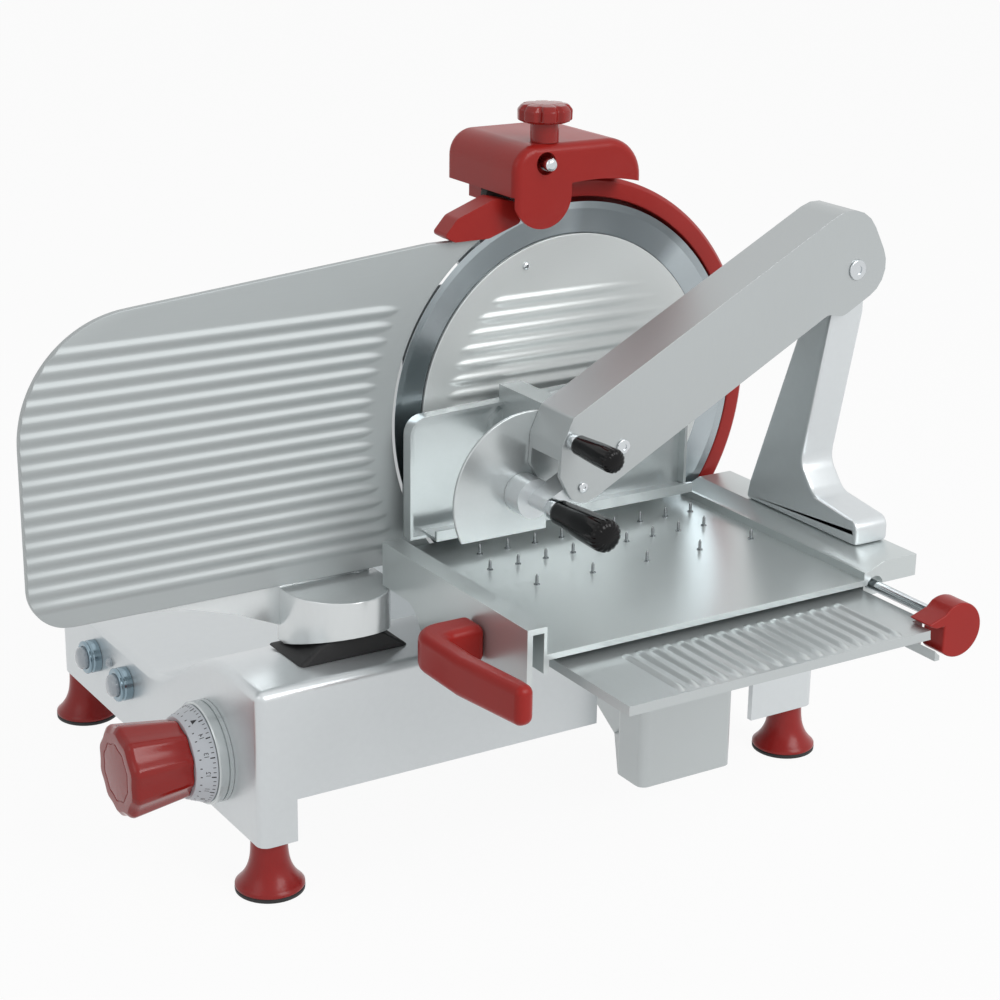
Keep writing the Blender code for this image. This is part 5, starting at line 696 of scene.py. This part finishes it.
folds = [bellows_loop(step / 8, 0.0004 if step % 2 else -0.0004) for step in range(9)]
hole = rounded([(-0.2552, 0.0, 0.001), (-0.2552, -0.0468, 0.001), (-0.2198, -0.0468, 0.001),
                (-0.2198, 0.0, 0.001)], 8)
folds.append([(x, y, -0.1742 - seal_slope * min(0.0, y)) for x, y in hole])
folds.append([(x, y, seal_foot) for x, y in hole])
shape = bmesh.new()
rings = [[shape.verts.new(hub + Vector(spot)) for spot in loop] for loop in folds]
for one, two in zip(rings, rings[1:] + rings[:1]):
    band(shape, one, two)
finished(solid("gauge_seal_bellows", shape, crease=50), rubber,
         frame["nodes"]["gauge_seal"]["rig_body"], ["gauge_seal"])
dressed("gauge_guide", chrome, 0.0008)

# Blade
# A hardened steel disc of 350 mm, cupped, ground to a bright bevel at its edge. The turning
# marks run round it; the fans of light and dark they throw are painted reflections in its colour.


def turned_steel(name, colour, rough, painted_fans, painted_fan_depth, metallic=1.0):
    """Steel turned on a lathe: rings in the gloss, and painted reflections: fans of light and dark
    in the colour round the axis.
    """
    made, wire = new_material(name)
    place = wire.node("ShaderNodeMapping", None, {
        "Vector": wire.node("ShaderNodeTexCoord", output="Object"), "Location": tuple(-hub)})
    x, _, z = place.parts()
    radius = wire.maths("SQRT", x * x + z * z)
    angle = wire.maths("ARCTAN2", z, x) / math.tau + 0.5
    rings = wire.node("ShaderNodeTexNoise", {"noise_dimensions": "1D"}, {
        "W": radius, "Scale": 2600.0, "Detail": 3.0})
    # the painted reflections: colour brightness set by the angle round the axis
    painted_fan = wire.node("ShaderNodeValToRGB", {"stops": painted_fans}, {0: angle})
    painted_fan = wire.node("ShaderNodeSeparateColor", None, {0: painted_fan})
    tone = (painted_fan * painted_fan_depth + rings * (1 - painted_fan_depth)).blend(
        tuple(part * (1 - painted_fan_depth) for part in colour), colour)
    bump = wire.node("ShaderNodeBump", None, {
        "Strength": 0.05, "Distance": 0.0002, "Height": rings})
    shader = wire.node("ShaderNodeBsdfPrincipled", None, {
        "Base Color": tone, "Metallic": metallic, "Roughness": rings * 0.10 + (rough - 0.05),
        "Normal": bump})
    wire.node("ShaderNodeOutputMaterial", None, {"Surface": shader})
    return made


# Painted reflection brightness at shares of a turn from the left round below, to the right and over
# the top
blade_painted_fans = [(0.0, 0.45), (0.012, 0.25), (0.045, 0.05), (0.11, 0.10), (0.16, 0.6), (0.25, 0.8),
              (0.36, 0.6), (0.44, 0.85), (0.52, 0.65), (0.60, 0.75), (0.628, 1.0), (0.645, 0.30),
              (0.70, 0.34), (0.737, 0.42), (0.752, 1.0), (0.80, 0.9), (0.865, 1.0), (0.895, 0.6),
              (0.95, 0.45), (0.972, 0.6), (0.984, 1.0), (0.994, 0.5), (1.0, 0.45)]
steel = turned_steel("turned_steel", (0.54, 0.60, 0.63), 0.20, blade_painted_fans, 0.75)
blade = [(0.0050, 0.0110), (0.1550, 0.0110), (0.1600, 0.0075), (blade_radius, 0.0006),
         (blade_radius, 0.0), (0.1690, 0.0014), (0.1685, 0.0015), (0.1480, 0.0034),
         (0.1478, 0.0036), (0.1478, 0.0060), (0.0050, 0.0060)]
turned("blade_turned", blade, "y", (0, 0), steel, "blade", "steel", ["blade"], loop=True,
       sides=256, crease=12)

# Blade cover
# A pressed aluminium disc with ribs at about the pitch of the gauge plate's, held by a
# rod through the hollow spindle. A small stop pin shows at its top.
# Its colour is painted a little lighter towards its right: a painted reflection.
cover_metal = turned_steel(
    "turned_cover_painted_fans", (0.80, 0.835, 0.83), 0.38, [(0.0, 0.7), (0.5, 0.9), (1.0, 0.7)], 0.15, 0.45)
cover_edge = 0.0006
cover_radius = 0.1468 - cover_edge
cover_ribs, cover_rib_top, cover_pitch, rib_circle = 16, 0.0955, 0.01273, 0.1245


def cover_spots(z):
    """Places across the disc at a height, closer together towards its rim."""
    half = math.sqrt(max(0.0, cover_radius ** 2 - z * z))
    return [-half * math.cos(math.pi * step / 80) for step in range(81)]


def cover_rise(x, z):
    """How far the disc's face stands out; its ribs end rounded at the left, fading at the right."""
    number = min(cover_ribs - 1, max(0, round((cover_rib_top - z) / cover_pitch)))
    middle = cover_rib_top - number * cover_pitch
    half = math.sqrt(rib_circle ** 2 - middle * middle)
    past = max(0.0, (-x - (half - 0.014)) / 0.014, (x - (half - 0.060)) / 0.060)
    if past >= 1:
        return 0.0
    return 0.0016 * swell(z - middle, 0.0060 * math.sqrt(1 - past * past)) * (1 - past ** 2)


caps = [cover_radius * math.sin(math.radians(89 - 2.2 * step)) for step in range(9)]
steps = int(2 * caps[-1] / 0.0012)
levels = [-z for z in caps]
levels += [caps[-1] * (2 * step / steps - 1) for step in range(1, steps)] + caps[::-1]
shape = bmesh.new()
ribbed_plate(shape, levels, cover_spots, cover_rise, 0.0015, 0.0050, cover_edge)
finished(solid("blade_cover_pressed", shape, crease=60), cover_metal, "base",
         ["blade_cover"])
pin = rounded([(0, 0.0022), (0.0032, 0.0022), (0.0032, -0.0002, 0.0006), (0.0016, -0.0008, 0.001),
               (0, -0.0008)], 4, False)
turned("cover_stop_pin", pin, "y", (-0.046, 0.124), chrome, "base", "steel", sides=32)
dressed("spindle", chrome, 0.0006)
black = moulding("black_moulding", (0.003, 0.003, 0.0035), 0.12, 0.01, 0.0, 0.2, shine=0.2)
dressed("cover_tie_knob", black, 0.0012)
dressed("spindle_bearing", chrome, 0.0006)
dressed("spindle_pulley", cast, 0.0005)
dressed("motor_pulley", cast, 0.0005)
dressed("belt", rubber, 0.0006)
motor_paint = moulding("motor_paint", (0.13, 0.135, 0.14), 0.45, 0.1, 0.0, 0.1, 600.0)
dressed("motor", motor_paint, 0.0012)

# Blade housing, motor case and guard ring
# The housing is cast and bolted to the base; the case is folded sheet over motor and belt.
# The red ring is moulded and screwed round the blade's free edge, with a wedge at its left end.
dressed("blade_housing", cast, 0.0010)
dressed("motor_case", rolled, 0.0010)
dressed("slice_deflector", rolled, 0.0005)
guard = rounded([(0.1785, 0.0030, 0.0015), (0.1925, 0.0030, 0.0015), (0.1960, 0.0062, 0.0020),
                 (0.1960, 0.0297, 0.0020), (0.1620, 0.0297), (0.1620, 0.0257), (0.1785, 0.0257)], 4)
shape = bmesh.new()
lathe(shape, guard, "y", (0, 0), sides=124, loop=True, span=(-34, 90))
ring_red = moulding("red_guard", (0.38, 0.022, 0.018), 0.34, 0.03, 0.06, shine=0.28)
finished(solid("ring_guard_moulded", shape), ring_red, "base", ["ring_guard"])
dressed("guard_wedge", red, 0.0016)

# Sharpener
# A moulded red hood over two stones, hung on a post and held by the star knob on top. The
# bright pin in its round window presses the honing stone on to the edge.


def prism(name, outline, along, near, far, ease=0.0, steps=3):
    """A flat outline drawn along the y or the z axis, with its rims eased."""
    shape = bmesh.new()
    ends = [[shape.verts.new(hub + Vector((a, c, b) if along == "y" else (a, b, c)))
             for a, b in outline] for c in (near, far)]
    shape.faces.new(ends[0])
    shape.faces.new(ends[1])
    band(shape, *ends)
    return solid(name, shape, ease, steps)


def bow(centre, radius, start, end, steps):
    """Points of an arc, its angles in degrees."""
    return [(centre[0] + radius * math.cos(math.radians(start + (end - start) * step / steps)),
             centre[1] + radius * math.sin(math.radians(start + (end - start) * step / steps)))
            for step in range(steps + 1)]


hood_left, hood_right, hood_top, hood_edge = -0.078, 0.050, 0.232, 0.190
window_at, stone_at = (-0.0478, 0.2166), (-0.0660, 0.1840)


def hood_form(name, inset, near, far, ease=0.0):
    """The hood's section, drawn smaller by the inset; its left shoulder is the tighter one."""
    return prism(name, rounded([
        (hood_left + inset, 0.150), (hood_left + inset, hood_top - inset, 0.022 - inset),
        (hood_right - inset, hood_top - inset, 0.034 - inset), (hood_right - inset, 0.150)], 12),
        "y", near, far, ease, 6)


# The lower edge follows the blade on the right and runs round the tongue in front. Inside are a
# wall that the honing pin slides through and a socket for the post.
arch = bow((0, 0), 0.1995, 96.39, 74.9, 12) + [(0.052, 0.140), (-0.080, 0.140)]
tongue = bow((-0.050, hood_edge), 0.028, 180, 360, 32)
hood = carved(
    hood_form("hood", 0.0, -0.030, 0.082, 0.0075),
    ("DIFFERENCE", hood_form("inside", 0.003, -0.027, 0.079)),
    ("DIFFERENCE", prism("below", [(-0.080, hood_edge), (-0.022, hood_edge)] + arch,
                         "y", -0.0269, 0.084)),
    ("DIFFERENCE", prism("round_the_tongue", [(-0.080, hood_edge), (hood_left, hood_edge)]
                         + tongue + arch, "y", -0.032, -0.0265)),
    ("DIFFERENCE", prism("window", bow(window_at, 0.0095, 0, 352.5, 47), "y", -0.032, -0.026)),
    ("DIFFERENCE", prism("stone_room", bow(stone_at, 0.0125, 0, 350, 35), "y", 0.015, 0.026)),
    ("UNION", prism("socket", rounded([
        (-0.072, 0.178), (-0.072, 0.2303, 0.0185), (-0.018, 0.2303), (-0.018, 0.178)], 8),
        "y", 0.0333, 0.0533)),
    ("UNION", block((-0.0640, -0.0140, 0.2030), (-0.0330, -0.0110, 0.2305))),
    ("DIFFERENCE", block((-0.0513, 0.0370, 0.160), (-0.0287, 0.0496, 0.2263))),
    ("DIFFERENCE", prism("axle_bore", bow(stone_at, 0.0033, 0, 340, 17), "y", 0.030, 0.0375)))
bmesh.ops.dissolve_limit(hood, angle_limit=math.radians(1), verts=hood.verts, edges=hood.edges)
finished(solid("sharpener_hood_moulded", hood, 0.0009, 3), red, "sharpener",
         ["sharpener_hood"])
dressed("sharpener_post", chrome, 0.0008)
star = rounded([(0, 0.2322), (0.0120, 0.2322), (0.0120, 0.2484, 0.0010), (0.0185, 0.2486, 0.0010),
                (0.0228, 0.2505, 0.0015), (0.0230, 0.2590, 0.0030), (0.0195, 0.2632, 0.0030),
                (0.0100, 0.2641, 0.004), (0, 0.2642)], 5, False)


def lobes(angle, place):
    """The knob's radius by angle: eight notches in its head, none in its stem."""
    grip = min(1.0, max(0.0, (place - 0.2482) / 0.002))
    notch = max(0.0, math.cos(8 * angle)) ** 2
    return 1 - 0.13 * grip * notch


turned("sharpener_knob_star", star, "z", (-0.040, -0.014), knob_red, "sharpener_knob",
       "red_plastic", ["sharpener_knob"], sides=192, crease=45, wave=lobes)
grit = moulding("grinding_grit", (0.045, 0.043, 0.041), 0.85, 0.5, 0.0, 0.5, 1500.0)
stone = rounded([(0, 0.0160), (0.0118, 0.0160, 0.0006), (0.0118, 0.0250, 0.0006), (0.0030, 0.0250),
                 (0.0030, 0.0370), (0, 0.0370)], 3, False)
turned("grinding_stone_turned", stone, "y", stone_at, grit, "grinding_stone", "stone",
       ["grinding_stone"], sides=64)
hone = rounded([(0, -0.0060), (0.0110, -0.0060, 0.0008), (0.0110, -0.0120, 0.0008),
                (0.0055, -0.0120), (0.0055, -0.0378, 0.0012), (0.0040, -0.0400, 0.003),
                (0, -0.0400)], 4, False)
turned("honing_pin_turned", hone, "y", window_at, chrome, "honing_pin", "chrome",
       ["honing_pin"], sides=64)

# Carriage
# A machined aluminium plate with soft ribs across its front apron, a turned-down edge on the
# right and a hollow stem below that runs on a ground rail inside the base.
carriage_metal = metal("carriage_plate", (0.55, 0.585, 0.59), 0.32, (120, 3, 120), 0.02, 0.05)
plate_top = -0.1185
dressed("carriage", carriage_metal, 0.0008,
        lambda spot: spot.z > plate_top + 0.0005 and spot.y < -0.26,
        move=lambda x, y, z: (0.047 if x < 0.010 and y > -0.0848 and z < -0.270 else x, y, z))
apron_start, apron_end, apron_face = -0.3485, -0.2665, -0.1187
apron_ribs, apron_pitch, apron_rise, half = 17, 0.01317, 0.0028, 0.0050
steps_long, steps_wide = 14, 8
points, faces = [], []
for j in range(steps_long + 1):
    y = apron_start + (apron_end - apron_start) * j / steps_long
    past = max(0.0, 1 - j / 1.5, 1 - (steps_long - j) / 1.5)
    for i in range(steps_wide + 1):
        off = half * (2 * i / steps_wide - 1)
        points.append((off, y, apron_face + apron_rise * swell(off, half) * (1 - past * past)))
for j in range(steps_long):
    for i in range(steps_wide):
        one, two = j * (steps_wide + 1) + i, (j + 1) * (steps_wide + 1) + i
        faces.append((one, one + 1, two + 1, two))
rib = pattern("rib", points, faces)
rib.data.polygons.foreach_set("use_smooth", [True] * len(faces))
row("carriage_ribs", rib, apron_ribs, hub + Vector((-0.1236, 0, 0)), (apron_pitch, 0, 0),
    (0, 0, 0), carriage_metal, "carriage")
bpy.data.objects.remove(rib)
dressed("carriage_rail", chrome, 0.0010)
rod = rounded([
    (0, -0.3287), (0.0047, -0.3287), (0.0047, -0.0605), (0.0042, -0.0600), (0, -0.0600)], 2, False)
turned("table_rod_ground", rod, "y", (0.1348, -0.1136), chrome, "carriage", "chrome",
       ["table_rod"], sides=48)
beak = [(0.1126, -0.1133), (0.1300, -0.1076)] + bow((0.1455, -0.1235), 0.0230, 116, -136, 40)
beak += [(0.1290, -0.1176), (0.1215, -0.1178), (0.1165, -0.1160)]
finished(prism("rod_end_moulded", beak, "y", -0.3530, -0.3290, 0.0014, 3), red, "carriage",
         ["rod_end"])

# Meat table
# An extruded aluminium tray with a tall channelled wall on its left and a raised ledge on its
# right. Small steel spikes are pressed into it in rows to hold the meat.
tray_metal = metal("tray_sheet", (0.62, 0.665, 0.665), 0.30, (14, 14, 14), 0.0, 0.0, 0.6)
spike_metal = metal("spike_steel", (0.30, 0.32, 0.33), 0.25, (30, 30, 30), 0.01, 0.05, 1.0)
tray_top = -0.107
dressed("meat_table", tray_metal, 0.0007,
        lambda spot: tray_top + 0.0005 < spot.z < -0.0965 and -0.187 < spot.x < 0.1215)
shape = bmesh.new()
lathe(shape, [(0, -0.1078), (0.0026, -0.1078), (0.0026, -0.1064), (0.0014, -0.1060),
              (0.0013, -0.1000), (0.0002, -0.0975), (0, -0.0975)], "z", (0, 0), sides=12)
bmesh.ops.translate(shape, vec=-hub, verts=shape.verts)
spike = solid("spike", shape)
for number, (y, first, count, step) in enumerate((
    (-0.050, -0.1205, 9, 0.0277), (-0.086, -0.1325, 9, 0.0277), (-0.134, -0.1170, 5, 0.0553))):
    row("table_spikes_" + str(number + 1), spike, count, hub + Vector((first, y, 0)), (step, 0, 0),
        (0, 0, 0), spike_metal, "table")
bpy.data.objects.remove(spike)

# Table handle
# A hooked red bar moulded in one piece and screwed to the tray's wall from inside. The hand
# pulls and pushes the whole table with it.
hook = rounded([
    (-0.2083, -0.1750), (-0.2630, -0.1750, 0.024), (-0.2630, -0.2475), (-0.2520, -0.3200, 0.0070),
    (-0.2370, -0.3200, 0.0070), (-0.2370, -0.3050), (-0.2440, -0.2475), (-0.2440, -0.2040, 0.008),
    (-0.2083, -0.2040)], 6)
finished(prism("table_handle_moulded", hook, "z", -0.132, -0.100, 0.0070, 6), red, "table",
         ["table_handle"])

# Arm column
# A curved cast post on a broad shoe, screwed down on the ledge of the meat table. Its head
# holds the arm's pin.
dressed("arm_column", cast, 0.0030, steps=4, flat=0.5)

# Press arm
# A long aluminium channel, open below, ground on its wide faces. It turns on a steel pin
# through the column's head.
arm_metal = metal("ground_arm", (0.50, 0.53, 0.535), 0.36, (120, 120, 5), 0.02, 0.05)
dressed("press_arm", arm_metal, 0.0012, flat=0.5)
arm_face, head_face, arm_back = -0.1833, -0.1848, -0.1357
pin = rounded([
    (0, -0.1342), (0.0085, -0.1342, 0.0005), (0.0085, arm_back), (0.0070, arm_back),
    (0.0070, arm_face), (0.0085, arm_face), (0.0085, head_face, 0.0008), (0.0040, head_face),
    (0.0040, -0.1840), (0, -0.1840)], 3, False)
turned("arm_pin_turned", pin, "y", (0.1619, 0.1353), chrome, "table", "steel", ["arm_pin"],
       sides=64)

# Hand guard, hub and grips
# A cast fan of sheet behind the hand, a hub with a short link to the arm, and two black
# moulded grips with fluted ends, the larger one on a bright ferrule, the smaller on a neck.
dressed("hand_guard", plate_grey, 0.0008)
dressed("grip_link", cast, 0.0012)
grip_at, small_at = (-0.1347, -0.0237), (-0.1185, 0.0290)
ferrule = rounded([(0, -0.1796), (0.0080, -0.1796, 0.0005), (0.0085, -0.1850, 0.002),
                   (0.0085, -0.1916, 0.0006), (0, -0.1916)], 3, False)
turned("grip_ferrule_turned", ferrule, "y", grip_at, chrome, "arm", "chrome", ["grip_ferrule"],
       sides=64)


def flutes(start, full, count, depth):
    """The radius of a grip by angle: flutes that begin at start and have their depth at full."""
    def wave(angle, place):
        grown = min(1.0, max(0.0, (start - place) / (start - full)))
        return 1 - depth * grown * (0.5 + 0.5 * math.cos(count * angle)) ** 2
    return wave


def grip(start, end, thin, thick):
    """A grip's profile, swelling from thin to thick, with a rounded end."""
    profile = [(0, start), (thin * 0.93, start), (thin, start - 0.0006)]
    for step in range(1, 25):
        share = step / 24
        fat = math.sin(math.pi / 2 * min(1.0, share / 0.92)) ** 1.2
        tip = max(0.0, (share - 0.93) / 0.07)
        profile.append((
            (thin + (thick - thin) * fat) * math.sqrt(max(0.04, 1 - 0.55 * tip * tip)),
            start - 0.0006 + (end - start + 0.0006) * share))
    return profile + [(0, end)]


turned("main_grip_moulded", grip(-0.1920, -0.2600, 0.0100, 0.0133), "y", grip_at, black, "arm",
       "black_plastic", ["main_grip"], sides=144, crease=50, wave=flutes(-0.244, -0.257, 16, 0.05))
small = grip(-0.1925, -0.2430, 0.0080, 0.0098)
neck = rounded([(0, -0.1770), (0.0030, -0.1770), (0.0030, arm_face), (0.0066, arm_face, 0.001),
                (0.0072, -0.1925, 0.0006), (0, -0.1925)], 3, False)
turned("small_grip_neck", neck, "y", small_at, chrome, "arm", "chrome", sides=64)
turned("small_grip_moulded", small, "y", small_at, black, "arm", "black_plastic", ["small_grip"],
       sides=144, crease=50, wave=flutes(-0.228, -0.240, 16, 0.05))
screw = rounded([
    (0, -0.1787), (0.0030, -0.1787), (0.0030, arm_face), (0.0042, arm_face),
    (0.0042, head_face, 0.0006), (0.0018, head_face), (0.0018, -0.1842), (0, -0.1842)], 3, False)
turned("link_screw_turned", screw, "y", (-0.1076, -0.0103), chrome, "arm", "steel", ["link_screw"],
       sides=32)

# Press plate
# A pressed sheet with a turned rim and a shelf along its foot, hung from the arm on a bolt so
# that it lies flat against the meat.
dressed("press_plate", plate_grey, 0.0008, flat=0.5)
bolt = rounded([
    (0, -0.1240), (0.0045, -0.1240), (0.0045, arm_face), (0.0062, arm_face),
    (0.0062, head_face, 0.0007), (0.0026, head_face), (0.0026, -0.1841), (0, -0.1841)], 3, False)
turned("press_bolt_turned", bolt, "y", (-0.070, 0.0176), chrome, "press", "steel", ["press_bolt"],
       sides=48)
